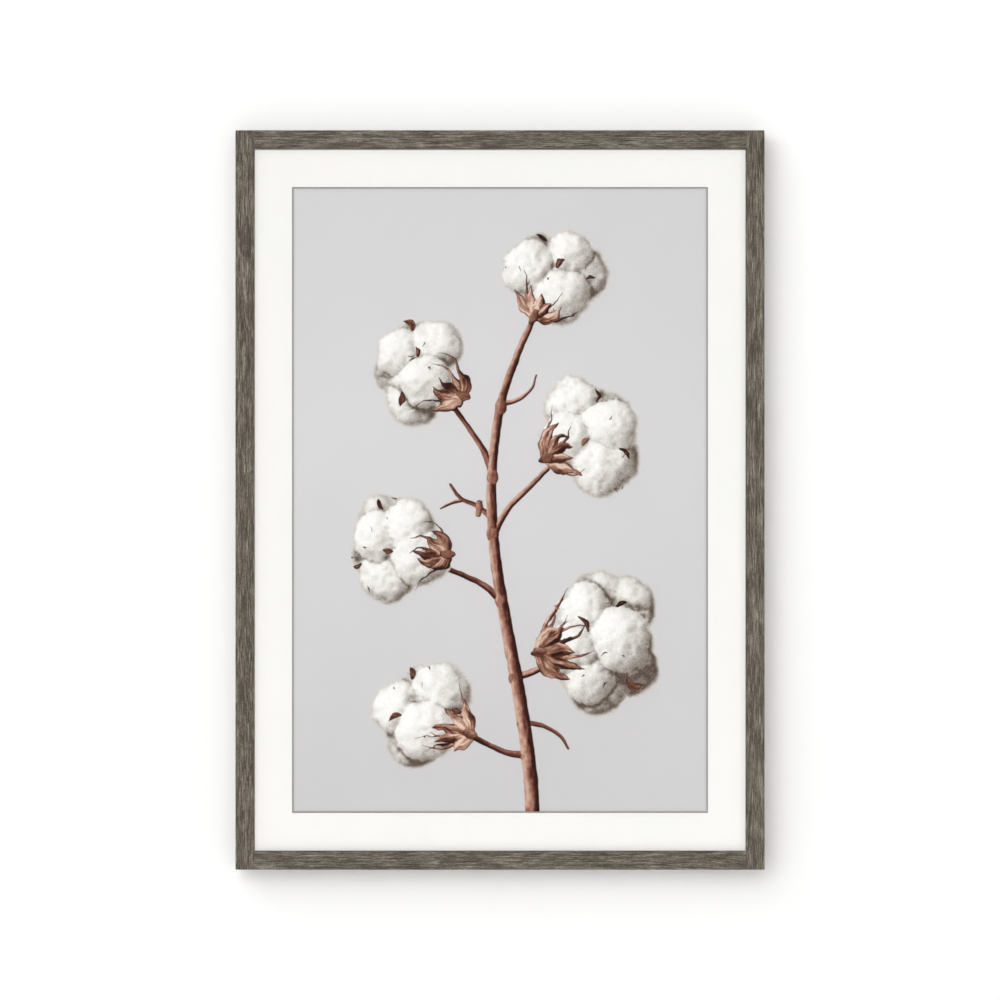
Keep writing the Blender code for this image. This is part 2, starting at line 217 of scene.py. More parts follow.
def relief(shader, height, depth, strength=1.0):
    """Feed a height, in units of depth metres, to the shader's normal."""
    inputs = {"Height": height, "Distance": depth, "Strength": strength}
    fill(shader, {"Normal": out(shader.id_data, "ShaderNodeBump", inputs)})


def put(name, data):
    """A new object in the scene, at the origin."""
    item = bpy.data.objects.new(name, data)
    bpy.context.scene.collection.objects.link(item)
    return item


print("mid grey 128 is", round(chart(128, 128, 128)[0], 3), "in linear light")

# %% [markdown]
# ## Room and light
# The print hangs on a white wall, over a pale floor. One broad lamp stands in front of the wall, and
# one stands up and to the left, so the frame throws a soft shade down and to the right. A small hard
# lamp would give a sharp edge; a sun that is many degrees wide gives the soft one. These two light
# only the room. The print has a narrower lamp nearly square on, because a picture is lit so that the
# moulding's lip throws no shade across the mat, and no lamp glares in the glass. The wall is seen only
# from its front, so that the back of the frame can be looked at too, and the back has its own lamp.

# %% Wall and floor
def flat_plate(name, corners):
    mesh = bpy.data.meshes.new(name)
    mesh.from_pydata(corners, [], [tuple(range(len(corners)))])
    plate = put(name, mesh)
    return plate


FLOOR_Z = -1.0
ROOM = 5.0
WALL_Y = 0.0006
wall = flat_plate("wall", [(-ROOM, WALL_Y, FLOOR_Z), (ROOM, WALL_Y, FLOOR_Z),
                           (ROOM, WALL_Y, ROOM), (-ROOM, WALL_Y, ROOM)])
floor = flat_plate("floor", [(-ROOM, -ROOM, FLOOR_Z), (ROOM, -ROOM, FLOOR_Z),
                             (ROOM, ROOM, FLOOR_Z), (-ROOM, ROOM, FLOOR_Z)])
wall.visible_shadow = False
wall.visible_diffuse = False

wall_paint, tree, shader = new_material("white_wall_paint")
seen_from_behind = add(tree, "ShaderNodeNewGeometry").outputs["Backfacing"]
fill(shader, {"Base Color": (0.95, 0.95, 0.95, 1.0), "Roughness": 1.0, "Specular IOR Level": 0.0,
              "Emission Color": (1.0, 1.0, 1.0, 1.0), "Emission Strength": 0.06,
              "Alpha": calc("SUBTRACT", 1.0, seen_from_behind)})
wall.data.materials.append(wall_paint)

floor_paint, tree, shader = new_material("pale_floor")
mottle = colour_ramp(noise(place_in(tree), 30.0, 4.0), (0.3, 214, 212, 208), (0.7, 222, 220, 217))
fill(shader, {"Base Color": mottle, "Roughness": 0.9})
floor.data.materials.append(floor_paint)
print("wall at", WALL_Y, "floor at", FLOOR_Z)

# %% Lamps
def broad_lamp(name, towards, strength, width):
    """A sun; towards is the way from the print to the lamp, width its angle in degrees."""
    data = bpy.data.lights.new(name, "SUN")
    data.energy = strength
    data.angle = math.radians(width)
    lamp = put(name, data)
    lamp.rotation_euler = (-Vector(towards)).to_track_quat("-Z", "Y").to_euler()
    return lamp


SKY = 0.28                                        # even light from everywhere
FRONT_SHARE = 0.38                                # of the light on the wall
PICTURE_SHARE = 0.63                              # on the print, so that its white is just not blown out


def only_for(lamp, receivers, excluded=False):
    """Limit which objects a lamp lights; with excluded, they are the ones that it leaves out."""
    group = bpy.data.collections.new(lamp.name + "_receivers")
    for item in receivers:
        group.objects.link(item)
    lamp.light_linking.receiver_collection = group
    for link in group.collection_objects:
        link.light_linking.link_state = "EXCLUDE" if excluded else "INCLUDE"


def share_of_card(direction, share):
    """The sun strength that lights a card facing the camera by the given share."""
    return share * math.pi / -Vector(direction).normalized().y


front_way, slant_way, picture_way = (-0.05, -1.0, 0.04), (-0.70, -1.0, 0.74), (-0.05, -1.0, 0.07)
room, glass = [wall, floor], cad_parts["glazing"]
for name, way, share, width, lit, excluded in (
        ("wall_front_lamp", front_way, FRONT_SHARE, 70.0, room, False),
        ("wall_slant_lamp", slant_way, 1.0 - SKY - FRONT_SHARE, 66.0, room, False),
        ("picture_lamp", picture_way, PICTURE_SHARE, 9.0, [*room, glass], True)):
    only_for(broad_lamp(name, way, share_of_card(way, share), width), lit, excluded)
broad_lamp("back_lamp", (0.55, 1.0, 0.65), 2.2, 40.0)

world = bpy.data.worlds.new("studio")
world.use_nodes = True
bpy.context.scene.world = world
tree = world.node_tree
strength = remap(out(tree, "ShaderNodeLightPath"), 0.0, 1.0, SKY, 0.82, smooth=False)
fill(tree.nodes["Background"], {"Color": (1.0, 1.0, 1.0, 1.0), "Strength": strength})
bpy.context.scene.view_settings.view_transform = "Standard"
print("light on the wall: sky", SKY, "front", FRONT_SHARE, "slanted", round(1.0 - SKY - FRONT_SHARE, 2))

# %% [markdown]
# ## Mouldings: the outline
# The moulding is an L in section: a front lip holds the sheets, the body behind it is the rebate.
# A plain box with a bevel would lose the rebate, so the section is drawn as a closed loop of points.
# Points are close together on the front, where the grain shows, and far apart where nothing is seen.
# Every point also keeps which way is out, whether it belongs to the lip, and how far the rounding of
# the sight edge moved it, because the rounding has to fade out where two pieces are planed flush.

# %% Draw the section
EASE = 0.4 * MM
SECTION_CORNERS = [                               # across from the outer side, depth from the front
    (0.0, 0.0, 0.32, True), (FACE_WIDTH, 0.0, 0.5, True), (FACE_WIDTH, LIP_THICKNESS, 1.2, False),
    (BODY_WIDTH, LIP_THICKNESS, 1.6, False), (BODY_WIDTH, MOULDING_DEPTH, 0.8, True),
    (0.0, MOULDING_DEPTH, 0.6, True)]             # then the step to the next corner in mm, and if it is eased
ARC_STEPS = 4


def section_points():
    """Return each point's place, outward way, fading part of its rounding, and lip mark."""
    points = []
    count = len(SECTION_CORNERS)
    for index, (x, y, step, eased) in enumerate(SECTION_CORNERS):
        here = np.array((x, y))
        before = np.array(SECTION_CORNERS[index - 1][:2])
        after = np.array(SECTION_CORNERS[(index + 1) % count][:2])
        after_eased = SECTION_CORNERS[(index + 1) % count][3]
        came = (here - before) / np.linalg.norm(here - before)
        goes = (after - here) / np.linalg.norm(after - here)
        side_before = np.array((came[1], -came[0]))
        side_after = np.array((goes[1], -goes[0]))
        fades = index == 1                        # the sight edge
        if eased:
            centre = here - EASE * (side_before + side_after)
            for part in range(ARC_STEPS + 1):
                share = part / ARC_STEPS
                angle = share * math.pi / 2
                outward = math.cos(angle) * side_before + math.sin(angle) * side_after
                place = centre + EASE * outward
                reach = EASE * 2 * abs(share - 0.5)
                sharp = here - came * reach if share < 0.5 else here + goes * reach
                points.append((place, outward, place - sharp if fades else place * 0.0))
        else:
            outward = side_before + side_after
            points.append((here, outward / max(1.0, np.linalg.norm(outward)), here * 0.0))
        start = EASE if eased else 0.0
        stop = np.linalg.norm(after - here) - (EASE if after_eased else 0.0)
        inner = max(1, round((stop - start) / (step * MM)))
        for part in range(1, inner):
            place = here + goes * (start + (stop - start) * part / inner)
            points.append((place, side_after, here * 0.0))
    return points


SPLIT = 0.01 * MM                                 # two points this close make the shoulder's step
drawn = section_points()
section = []
for place, outward, fading in drawn:
    on_outer_side = place[0] < 1e-9 and EASE < place[1]
    if on_outer_side and section and section[-1][0][1] > LIP_THICKNESS + SPLIT >= place[1]:
        level = np.array((0.0, LIP_THICKNESS))
        section.append((level + (0.0, SPLIT), outward, fading, 0.0))
        section.append((level, outward, fading, 1.0))
    lip = 1.0 if place[1] <= LIP_THICKNESS + 1e-9 else 0.0
    if abs(place[1] - LIP_THICKNESS) > 0.1 * MM or not on_outer_side:
        section.append((place, outward, fading, lip))
    if abs(place[0] - BODY_WIDTH) < 1e-9 and abs(place[1] - LIP_THICKNESS) < 1e-9:
        section.append((place + (0.0, SPLIT), np.array((1.0, 0.0)), fading, 0.0))
SECTION_COUNT = len(section)
print("section of", SECTION_COUNT, "points,", sum(1 for point in section if point[3]), "of them on the lip")

# %% [markdown]
# ## Mouldings: the sweep
# A moulding is one section carried along a line, which is what Geometry Nodes do best: a curve of
# rings, the section on each, and fields that move the points. Two fields matter. One draws the
# ends in a little, as sandpaper does. The other sinks the pores of the grain, long and narrow along
# the timber, so the surface has real furrows and not only a pattern. The same pores are stored as an
# attribute, so that the stain can be darker exactly where the furrows are.

# %% Build the moulding tree
def tree_inputs(tree, floats):
    """Open a Geometry Nodes tree: geometry in and out, named sizes, and a material."""
    sizes = [(name, "Float") for name in floats]
    for name, kind in [("Geometry", "Geometry"), *sizes, ("Material", "Material")]:
        tree.interface.new_socket(name, in_out="INPUT", socket_type="NodeSocket" + kind)
    tree.interface.new_socket("Geometry", in_out="OUTPUT", socket_type="NodeSocketGeometry")
    return tree.nodes.new("NodeGroupInput").outputs


def close_tree(tree, geometry, material):
    """Every tree ends in real faces that carry their finish."""
    real = out(tree, "GeometryNodeRealizeInstances", {"Geometry": geometry})
    finished = add(tree, "GeometryNodeSetMaterial", {"Geometry": real, "Material": material})
    add(tree, "NodeGroupOutput", {"Geometry": finished.outputs["Geometry"]})


def named(tree, name, kind="FLOAT"):
    return out(tree, "GeometryNodeInputNamedAttribute", {"Name": name}, data_type=kind)


NEAR_RING = 0.25 * MM


def build_moulding_tree():
    tree = bpy.data.node_groups.new("swept_moulding", "GeometryNodeTree")
    given = tree_inputs(tree, ["Length", "Ring Step", "End Ease", "Shoulder", "Flush Length",
                               "Pore Depth", "Pore Width", "Pore Length", "Seed"])
    length, ease = given["Length"], given["End Ease"]
    # rings: three close ones at each end, so the face stays flat up to its easing; even steps between
    count = calc("ADD", calc("FLOOR", calc("DIVIDE", length, given["Ring Step"])), 7.0)
    last = calc("SUBTRACT", count, 1.0)
    line = out(tree, "GeometryNodeCurvePrimitiveLine", {"End": (0.0, 0.0, 1.0)})
    rings = out(tree, "GeometryNodeResampleCurve", {"Curve": line, "Count": count})
    index = out(tree, "GeometryNodeInputIndex")
    ends = calc("ADD", ease, NEAR_RING)
    middle = calc("MULTIPLY_ADD", ends, -2.0, length)
    marks = [0.0, 2.0, 3.0] + [calc("SUBTRACT", last, back) for back in (3.0, 2.0, 0.0)]
    climb = 0.0
    for first, final, rise in zip(marks, marks[1:], (ease, NEAR_RING, middle, NEAR_RING, ease)):
        climb = calc("ADD", climb, remap(index, first, final, 0.0, rise, smooth=False))
    capture = tree.nodes.new("GeometryNodeCaptureAttribute")
    capture.capture_items.new("FLOAT", "Run")
    fill(capture, {"Geometry": rings, "Run": climb})
    run = capture.outputs["Run"]
    # the sweep
    outline = out(tree, "GeometryNodeMeshToCurve", {"Mesh": given["Geometry"]})
    swept = out(tree, "GeometryNodeCurveToMesh",
                {"Curve": capture.outputs["Geometry"], "Profile Curve": outline})
    # the lip is shorter than the body where it meets a shoulder
    setback = calc("MULTIPLY", given["Shoulder"], named(tree, "lip"))
    shorter = calc("MULTIPLY_ADD", setback, -2.0, length)
    along = calc("MULTIPLY_ADD", run, calc("DIVIDE", shorter, length), setback)
    # distance from the nearer end draws the end in
    from_end = calc("MINIMUM", run, calc("SUBTRACT", length, run))
    short = calc("MAXIMUM", calc("SUBTRACT", ease, from_end), 0.0)
    root = calc("SQRT", calc("SUBTRACT", calc("MULTIPLY", ease, ease), calc("MULTIPLY", short, short)))
    drawn_in = calc("SUBTRACT", ease, root)
    # the sight edge is sharp where the cross piece is planed flush with it
    clear = calc("ADD", given["Flush Length"], EASE)
    flush = remap(from_end, given["Flush Length"], clear, -1.0, 0.0)
    sharpen = vector_calc("SCALE", named(tree, "rounding", "FLOAT_VECTOR"), flush)
    # pores, in a solid of timber
    x, y = split(out(tree, "GeometryNodeInputPosition"))[:2]
    across, deep = [calc("DIVIDE", side, given["Pore Width"]) for side in (x, y)]
    spot = join(across, deep, calc("DIVIDE", along, given["Pore Length"]))
    pore = remap(seeded_noise(spot, given["Seed"], 2.0, 0.6, 0.35), 0.50, 0.68)
    sink = calc("MULTIPLY_ADD", pore, given["Pore Depth"], drawn_in)
    inward = vector_calc("SCALE", named(tree, "outward", "FLOAT_VECTOR"), calc("MULTIPLY", sink, -1.0))
    target = vector_calc("ADD", vector_calc("ADD", join(x, y, along), inward), sharpen)
    stored = out(tree, "GeometryNodeStoreNamedAttribute",
                 {"Geometry": swept, "Name": "pore", "Value": pore},
                 data_type="FLOAT", domain="POINT")
    moved = out(tree, "GeometryNodeSetPosition", {"Geometry": stored, "Position": target})
    close_tree(tree, moved, given["Material"])
    return tree


moulding_tree = build_moulding_tree()
print("moulding tree with", len(moulding_tree.nodes), "nodes")

# %% Helpers that run a tree and keep its mesh
def run_tree(base, tree, values):
    """Run the tree on a mesh with the named inputs and return the plain mesh it makes."""
    carrier = put("carrier", base)
    modifier = carrier.modifiers.new("nodes", "NODES")
    modifier.node_group = tree
    sockets = {item.name: item.identifier for item in tree.interface.items_tree if item.in_out == "INPUT"}
    for name, value in values.items():
        modifier[sockets[name]] = value
    graph = bpy.context.evaluated_depsgraph_get()
    mesh = bpy.data.meshes.new_from_object(carrier.evaluated_get(graph))
    carrier.modifiers.remove(modifier)
    bpy.data.objects.remove(carrier, do_unlink=True)
    return mesh


def keep_piece(name, mesh, body, slot, *nodes):
    """Put a finished mesh in the scene as a piece that stands for CAD nodes."""
    mesh.name = name
    piece = put(name, mesh)
    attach(piece, body)
    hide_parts(*nodes)
    mesh.calc_loop_triangles()
    print(name, len(mesh.loop_triangles), "triangles")


def store(mesh, name, values):
    """Keep a number or a vector for each point of the mesh."""
    kind, field = ("FLOAT", "value") if values.ndim == 1 else ("FLOAT_VECTOR", "vector")
    mesh.attributes.new(name, kind, "POINT").data.foreach_set(field, values.ravel())


def loop_mesh(name, points):
    """A closed line through the points."""
    mesh = bpy.data.meshes.new(name)
    mesh.from_pydata(points, [(k, (k + 1) % len(points)) for k in range(len(points))], [])
    return mesh


def close_work(work, mesh):
    """Write an edited mesh back and let go of the working copy."""
    work.to_mesh(mesh)
    work.free()


def section_mesh():
    mesh = loop_mesh("moulding_section", [(*point[0], 0.0) for point in section])
    for name, column in (("outward", 1), ("rounding", 2)):
        store(mesh, name, np.array([(*point[column], 0.0) for point in section]))
    store(mesh, "lip", np.array([point[3] for point in section]))
    return mesh


print("helpers ready")

# %% [markdown]
# ## Mouldings: ends and nail slots
# A swept tube is open at both ends. One face closes a stile. A rail has a shoulder: its lip stops at
# the stile's lip while its body reaches behind it, so three faces close it in a step. A corrugated
# nail is driven across each joint from the back, and it sits in a wavy slot. The slot is cut with a
# Boolean, which is quick here because the moulding is one closed shell.

# %% Close the ends
def close_ends(mesh):
    """Add the end faces; the vertices run ring after ring, in the section's order."""
    work = bmesh.new()
    work.from_mesh(mesh)
    work.verts.ensure_lookup_table()
    for face in work.faces:
        face.smooth = True
    lips = [k for k in range(SECTION_COUNT) if section[k][3]]
    bodies = [k for k in range(SECTION_COUNT) if not section[k][3]]
    first_body = next(k for k in bodies if k - 1 in lips)
    body_run = [(first_body + k) % SECTION_COUNT for k in range(len(bodies))]
    lip_run = [(body_run[-1] + 1 + k) % SECTION_COUNT for k in range(len(lips))]
    step_run = [lip_run[0], body_run[-1], body_run[0], lip_run[-1]]
    caps = []
    for base in (0, len(work.verts) - SECTION_COUNT):
        for loop in (lip_run, body_run, step_run):
            caps.append(work.faces.new([work.verts[base + k] for k in loop]))
    bmesh.ops.recalc_face_normals(work, faces=work.faces)
    open_edges = sum(1 for edge in work.edges if not edge.is_manifold)
    for face in bmesh.ops.poke(work, faces=caps)["faces"]:   # a fan can't fold over, as one big face may
        face.smooth = False
    close_work(work, mesh)
    return open_edges


# %% Cut the nail slots
NAIL_LENGTH = 14.0 * MM
NAIL_WAVE = 1.1 * MM
NAIL_WAVES = 3
NAIL_SHEET = 0.5 * MM
WAVE_STEPS = 30
nail_low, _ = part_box("corner_nail_top_left")


def slot_cutter(places):
    """Wavy solids at places, each (x, z, mark), from below the nail to past the wood's back."""
    work = bmesh.new()
    length, thickness = NAIL_LENGTH + 2 * FIT, NAIL_SHEET + 2 * FIT
    for x0, z0, upright in places:
        upper, lower = [], []
        for step in range(WAVE_STEPS + 1):
            share = step / WAVE_STEPS
            phase = 2 * math.pi * NAIL_WAVES * share
            slope = NAIL_WAVE * math.cos(phase) * 2 * math.pi * NAIL_WAVES / length
            scale = thickness / 2 / math.hypot(1.0, slope)
            along, off = (share - 0.5) * length, NAIL_WAVE * math.sin(phase)
            upper.append((along - slope * scale, off + scale))
            lower.append((along + slope * scale, off - scale))
        outline = upper + lower[::-1]
        if upright:
            outline = [(off, along) for along, off in outline]
        rings = [[work.verts.new((x0 + x, y, z0 + z)) for x, z in outline]
                 for y in (nail_low.y - FIT, BACK_Y + MM)]
        count = len(outline)
        for k in range(count):
            after = (k + 1) % count
            work.faces.new((rings[0][k], rings[0][after], rings[1][after], rings[1][k]))
            if k < count // 2 - 1:
                for ring in rings:
                    work.faces.new((ring[k], ring[k + 1], ring[count - 2 - k], ring[count - 1 - k]))
    bmesh.ops.recalc_face_normals(work, faces=work.faces)
    mesh = bpy.data.meshes.new("nail_slots")
    close_work(work, mesh)
    return mesh


def cut_away(mesh, cutter_mesh):
    """Subtract the cutter; both are closed shells."""
    body, cutter = put("wood", mesh), put("cutter", cutter_mesh)
    modifier = body.modifiers.new("slots", "BOOLEAN")
    modifier.solver = "MANIFOLD"
    modifier.operation = "DIFFERENCE"
    modifier.object = cutter
    result = bpy.data.meshes.new_from_object(body.evaluated_get(bpy.context.evaluated_depsgraph_get()))
    body.modifiers.remove(modifier)
    for item in (body, cutter):
        bpy.data.objects.remove(item, do_unlink=True)
    return result


print("nail slots are", round(1000 * (BACK_Y - nail_low.y), 1), "mm deep")

# %% [markdown]
# ## Mouldings: a weathered stain
# The wood is ash or oak under a grey-brown stain that has settled in the open grain. Stain isn't one
# colour: it goes olive where it lies thin over pale wood and mauve where it lies thick, with short
# dark and light flecks along the grain. Long thin noise gives such streaks. The dowels are wood too,
# so the streak noise is a node group, built once. It reads a vector called timber, in which Z always
# runs along the grain, so one material serves uprights and cross pieces, and end grain comes out as
# specks by itself.

# %% The streak group
def open_group(name, inputs, outputs):
    """Open a shader group; inputs is a list of (name, kind, value), outputs of (name, kind)."""
    group = bpy.data.node_groups.new(name, "ShaderNodeTree")
    for label, kind, value in inputs:
        socket = group.interface.new_socket(label, in_out="INPUT", socket_type=kind)
        if value is not None:
            socket.default_value = value
    for label, kind in outputs:
        group.interface.new_socket(label, in_out="OUTPUT", socket_type=kind)
    return group, group.nodes.new("NodeGroupInput").outputs


def use_group(tree, group, inputs):
    return add(tree, "ShaderNodeGroup", inputs, node_tree=group).outputs


grain_group, given = open_group("long_grain", [
    ("Vector", "NodeSocketVector", None), ("Across", "NodeSocketFloat", 0.001),
    ("Along", "NodeSocketFloat", 0.015), ("Wander", "NodeSocketFloat", 1.0),
    ("Shift", "NodeSocketFloat", 0.0)], [("Streak", "NodeSocketFloat")])
x, y, z = [calc("DIVIDE", part, given[size])
           for part, size in zip(split(given["Vector"]), ("Across", "Across", "Along"))]
slow = vector_calc("MULTIPLY", join(x, y, z), (0.16, 0.16, 0.9))
drift = seeded_noise(slow, given["Shift"], 2.0)
push = calc("MULTIPLY", calc("SUBTRACT", drift, 0.5), calc("MULTIPLY", given["Wander"], 6.0))
bent = join(calc("ADD", x, push), y, z)
add(grain_group, "NodeGroupOutput", {"Streak": seeded_noise(bent, given["Shift"], 4.0, 0.72)})
print("long_grain takes", [item.name for item in grain_group.interface.items_tree if item.in_out == "INPUT"])

# %% The moulding's stain
moulding_wood, tree, shader = new_material("weathered_moulding_wood")


def stored_value(name, kind):
    """An attribute of the mesh, read in the material of the moment."""
    return add(tree, "ShaderNodeAttribute", attribute_name=name).outputs[kind]


timber = stored_value("timber", "Vector")
pore = stored_value("pore", "Fac")


def wood_streak(across, along, wander, shift):
    return use_group(tree, grain_group, {"Vector": timber, "Across": across * MM, "Along": along * MM,
                                         "Wander": wander, "Shift": shift})["Streak"]


coarse = wood_streak(0.50, 38.0, 0.20, 1.0)
fine = wood_streak(0.42, 15.0, 0.15, 5.0)
speck = wood_streak(0.60, 1.5, 0.2, 52.0)
long_line = wood_streak(0.9, 500.0, 0.05, 63.0)
patch = wood_streak(8.0, 36.0, 0.3, 9.0)
busy = remap(wood_streak(4.5, 40.0, 0.2, 41.0), 0.40, 0.60, 2.0, 5.6)
dark_fleck = remap(wood_streak(0.55, 9.0, 0.3, 14.0), 0.58, 0.66)
light_fleck = remap(wood_streak(0.55, 9.0, 0.3, 21.0), 0.60, 0.68)
tone = swing(coarse, 2.4, 0.34)
for streak, amount in ((fine, busy), (patch, 1.2), (speck, 1.6), (long_line, 1.1)):
    tone = swing(streak, amount, tone)
olive = colour_ramp(tone, (0.0, 58, 51, 41), (0.25, 80, 73, 59), (0.45, 99, 93, 78),
                    (0.62, 115, 110, 95), (1.0, 162, 157, 140))
mauve = colour_ramp(tone, (0.0, 60, 51, 44), (0.25, 83, 73, 64), (0.45, 102, 92, 83),
                    (0.62, 118, 108, 98), (1.0, 165, 155, 142))
stain = blend(remap(wood_streak(5.0, 60.0, 0.3, 30.0), 0.38, 0.62), olive, mauve)
stain = blend(calc("MULTIPLY", dark_fleck, 0.60), stain, chart(70, 61, 51))
stain = blend(calc("MULTIPLY", light_fleck, 0.50), stain, chart(146, 138, 126))
stain = blend(calc("MULTIPLY", pore, 0.38), stain, chart(72, 64, 55))
stain = blend(calc("MULTIPLY", stored_value("edge", "Fac"), 0.35), stain, chart(62, 54, 46))
fill(shader, {"Base Color": stain, "Specular IOR Level": 0.35,
              "Roughness": remap(tone, 0.2, 0.8, 0.74, 0.56, smooth=False)})
relief(shader, calc("ADD", fine, calc("MULTIPLY", coarse, 0.6)), 0.08 * MM)
print("stain of", len(tree.nodes), "nodes")

# %% [markdown]
# ## Mouldings: the four pieces
# Each piece is swept lying along Z with its outer side to the left, then the whole mesh is turned to
# its side of the frame. Turning the mesh, and not the object, keeps every object at the origin. The
# rails get a shoulder and run 0.03 mm short of the stiles: glued and planed, such a joint shows only
# as a change in the grain's direction.

# %% Sweep and place the mouldings
JOINT = 0.03 * MM
WORN_WIDTH = 0.9 * MM                             # of the darker line along an eased edge
TREE_SHIFT = (0.31, 0.17, 0.53)                   # times the seed: each piece is cut from another place
END_CUT = 0.05 * MM                               # a rail's end is hardly eased, as it is glued
stile_length = 2 * HALF_HEIGHT
rail_length = 2 * (HALF_WIDTH - BODY_WIDTH - JOINT)
PIECES = [                                        # node, half size, length, shoulder, quarter turns, seed
    ("left_stile", HALF_WIDTH, stile_length, 0.0, 0, 3.1),
    ("right_stile", HALF_WIDTH, stile_length, 0.0, 2, 11.7),
    ("top_rail", HALF_HEIGHT, rail_length, FACE_WIDTH - BODY_WIDTH, 1, 23.4),
    ("bottom_rail", HALF_HEIGHT, rail_length, FACE_WIDTH - BODY_WIDTH, 3, 37.9)]


def edge_wear(places):
    """How near each point, in the section's own frame, is to an eased edge that shows."""
    corners = [(0.0, 0.0), (FACE_WIDTH, 0.0), (0.0, MOULDING_DEPTH), (BODY_WIDTH, MOULDING_DEPTH)]
    nearest = np.min([np.hypot(places[:, 0] - x, places[:, 1] - y) for x, y in corners], axis=0)
    return np.clip(1.0 - nearest / WORN_WIDTH, 0.0, 1.0)


def make_moulding(name, half_size, length, shoulder, quarters, seed):
    upright = quarters % 2 == 0
    mesh = run_tree(section_mesh(), moulding_tree, {
        "Length": length, "Ring Step": 1.9 * MM, "End Ease": EASE if upright else END_CUT,
        "Shoulder": shoulder, "Flush Length": FACE_WIDTH if upright else -MM, "Pore Depth": 0.11 * MM,
        "Pore Width": 0.85 * MM, "Pore Length": 9.0 * MM, "Seed": seed, "Material": moulding_wood})
    open_edges = close_ends(mesh)
    mesh.transform(Matrix.Translation((-half_size, FRONT_Y, -length / 2)))
    nail_x = -half_size + (BODY_WIDTH + FIT / 2 if upright else BODY_WIDTH / 2)
    nail_z = HALF_HEIGHT - BODY_WIDTH / 2 if upright else HALF_WIDTH - BODY_WIDTH - FIT / 2
    mesh = cut_away(mesh, slot_cutter([(nail_x, -nail_z, not upright), (nail_x, nail_z, not upright)]))
    places = np.empty(len(mesh.vertices) * 3)
    mesh.vertices.foreach_get("co", places)
    places = places.reshape(-1, 3)
    local = places - (-half_size, FRONT_Y, 0.0)
    store(mesh, "edge", edge_wear(local))
    store(mesh, "timber", local + seed * np.array(TREE_SHIFT))
    for leftover in ("outward", "rounding", "lip"):
        if leftover in mesh.attributes:
            mesh.attributes.remove(mesh.attributes[leftover])
    mesh.transform(Matrix.Rotation(quarters * math.pi / 2, 4, "Y"))
    mesh.set_sharp_from_angle(angle=math.radians(35))
    print(name, "open edges before the slots:", open_edges)
    keep_piece("moulding_" + name, mesh, "frame", "moulding_wood", name)


for piece in PIECES:
    make_moulding(*piece)

# %% [markdown]
# ## The print: how a picture can be computed
# The sheet carries a plain studio picture of a cotton branch on a pale ground. An image file would
# be the usual way, but here the picture is worked out from a few curves and balls, so it can be
# changed by hand. It is an arrangement of its own: a stem that leans, bolls to either side, a few bare
# spurs. Everything is first worked out on a fine grid of spots, 0.6 mm apart, as arrays of numbers.
# Each layer keeps two things: how deep a spot lies inside its outline, and how light it is.

# %% The grid and its noise
SPOT = 0.6                                        # mm
SHEET_SIZE = (1000 * (sheet_high.x - sheet_low.x), 1000 * (sheet_high.z - sheet_low.z))
grid_x = np.arange(-SHEET_SIZE[0] / 2, SHEET_SIZE[0] / 2 + SPOT, SPOT)
grid_z = np.arange(-SHEET_SIZE[1] / 2, SHEET_SIZE[1] / 2 + SPOT, SPOT)
X, Z = np.meshgrid(grid_x, grid_z)


LATTICE = 128


def lattice_noise(x, z, cell, seed):
    """Smooth noise from -1 to 1 over a repeating lattice of random values."""
    table = np.random.default_rng(seed).random((LATTICE, LATTICE)) * 2 - 1
    u, v = x / cell + LATTICE / 2, z / cell + LATTICE / 2
    i, j = np.floor(u).astype(int), np.floor(v).astype(int)
    s, t = u - i, v - j
    s, t = s * s * (3 - 2 * s), t * t * (3 - 2 * t)
    low, high = [table[row % LATTICE, i % LATTICE] * (1 - s) + table[row % LATTICE, (i + 1) % LATTICE] * s
                 for row in (j, j + 1)]
    return low * (1 - t) + high * t


def cloud(x, z, cell, octaves, seed, gain=0.5):
    """Several layers of lattice noise, each half as big as the last."""
    return sum(gain**k * lattice_noise(x + 31.7 * k, z - 17.3 * k, cell / 2**k, seed + k)
               for k in range(octaves))


def ease_in(low, high, value):
    share = np.clip((value - low) / (high - low), 0, 1)
    return share * share * (3 - 2 * share)


print("grid", X.shape, "spots")

# %% Strokes and blurs
def blurred(field, radius):
    """Three passes of a box blur, close to a Gaussian; the radius is in mm."""
    size = max(1, int(round(radius / SPOT)))
    for _ in range(3):
        for axis in (0, 1):
            first, final = np.take(field, [0], axis), np.take(field, [-1], axis)
            ends = np.repeat(first, size + 1, axis), np.repeat(final, size, axis)
            total = np.cumsum(np.concatenate([ends[0], field, ends[1]], axis), axis)
            count = field.shape[axis]
            far = np.take(total, range(2 * size + 1, 2 * size + 1 + count), axis)
            field = (far - np.take(total, range(count), axis)) / (2 * size + 1)
    return field


def through(points, steps=10):
    """A smooth line through points, each (x, z, half width, height above the paper)."""
    p = np.array(points, float)
    p = np.vstack([2 * p[0] - p[1], p, 2 * p[-1] - p[-2]])
    line = []
    for k in range(1, len(p) - 2):
        for t in np.linspace(0, 1, steps, endpoint=False):
            line.append(0.5 * (2 * p[k] + (p[k + 1] - p[k - 1]) * t
                               + (2 * p[k - 1] - 5 * p[k] + 4 * p[k + 1] - p[k + 2]) * t**2
                               + (3 * p[k] - 3 * p[k + 1] + p[k + 2] - p[k - 1]) * t**3))
    line = np.array(line + [p[-2]])
    line[:, 2] = np.maximum(line[:, 2], 0.0)
    return line


def patch_around(x, z, margin):
    """The part of the grid within margin of the given places."""
    spans = []
    for places, marks in ((z, grid_z), (x, grid_x)):
        first = (np.min(places) - margin - marks[0]) / SPOT
        final = (np.max(places) + margin - marks[0]) / SPOT + 1
        spans.append(slice(*(int(end) for end in np.clip([first, final], 0, len(marks)))))
    return tuple(spans)


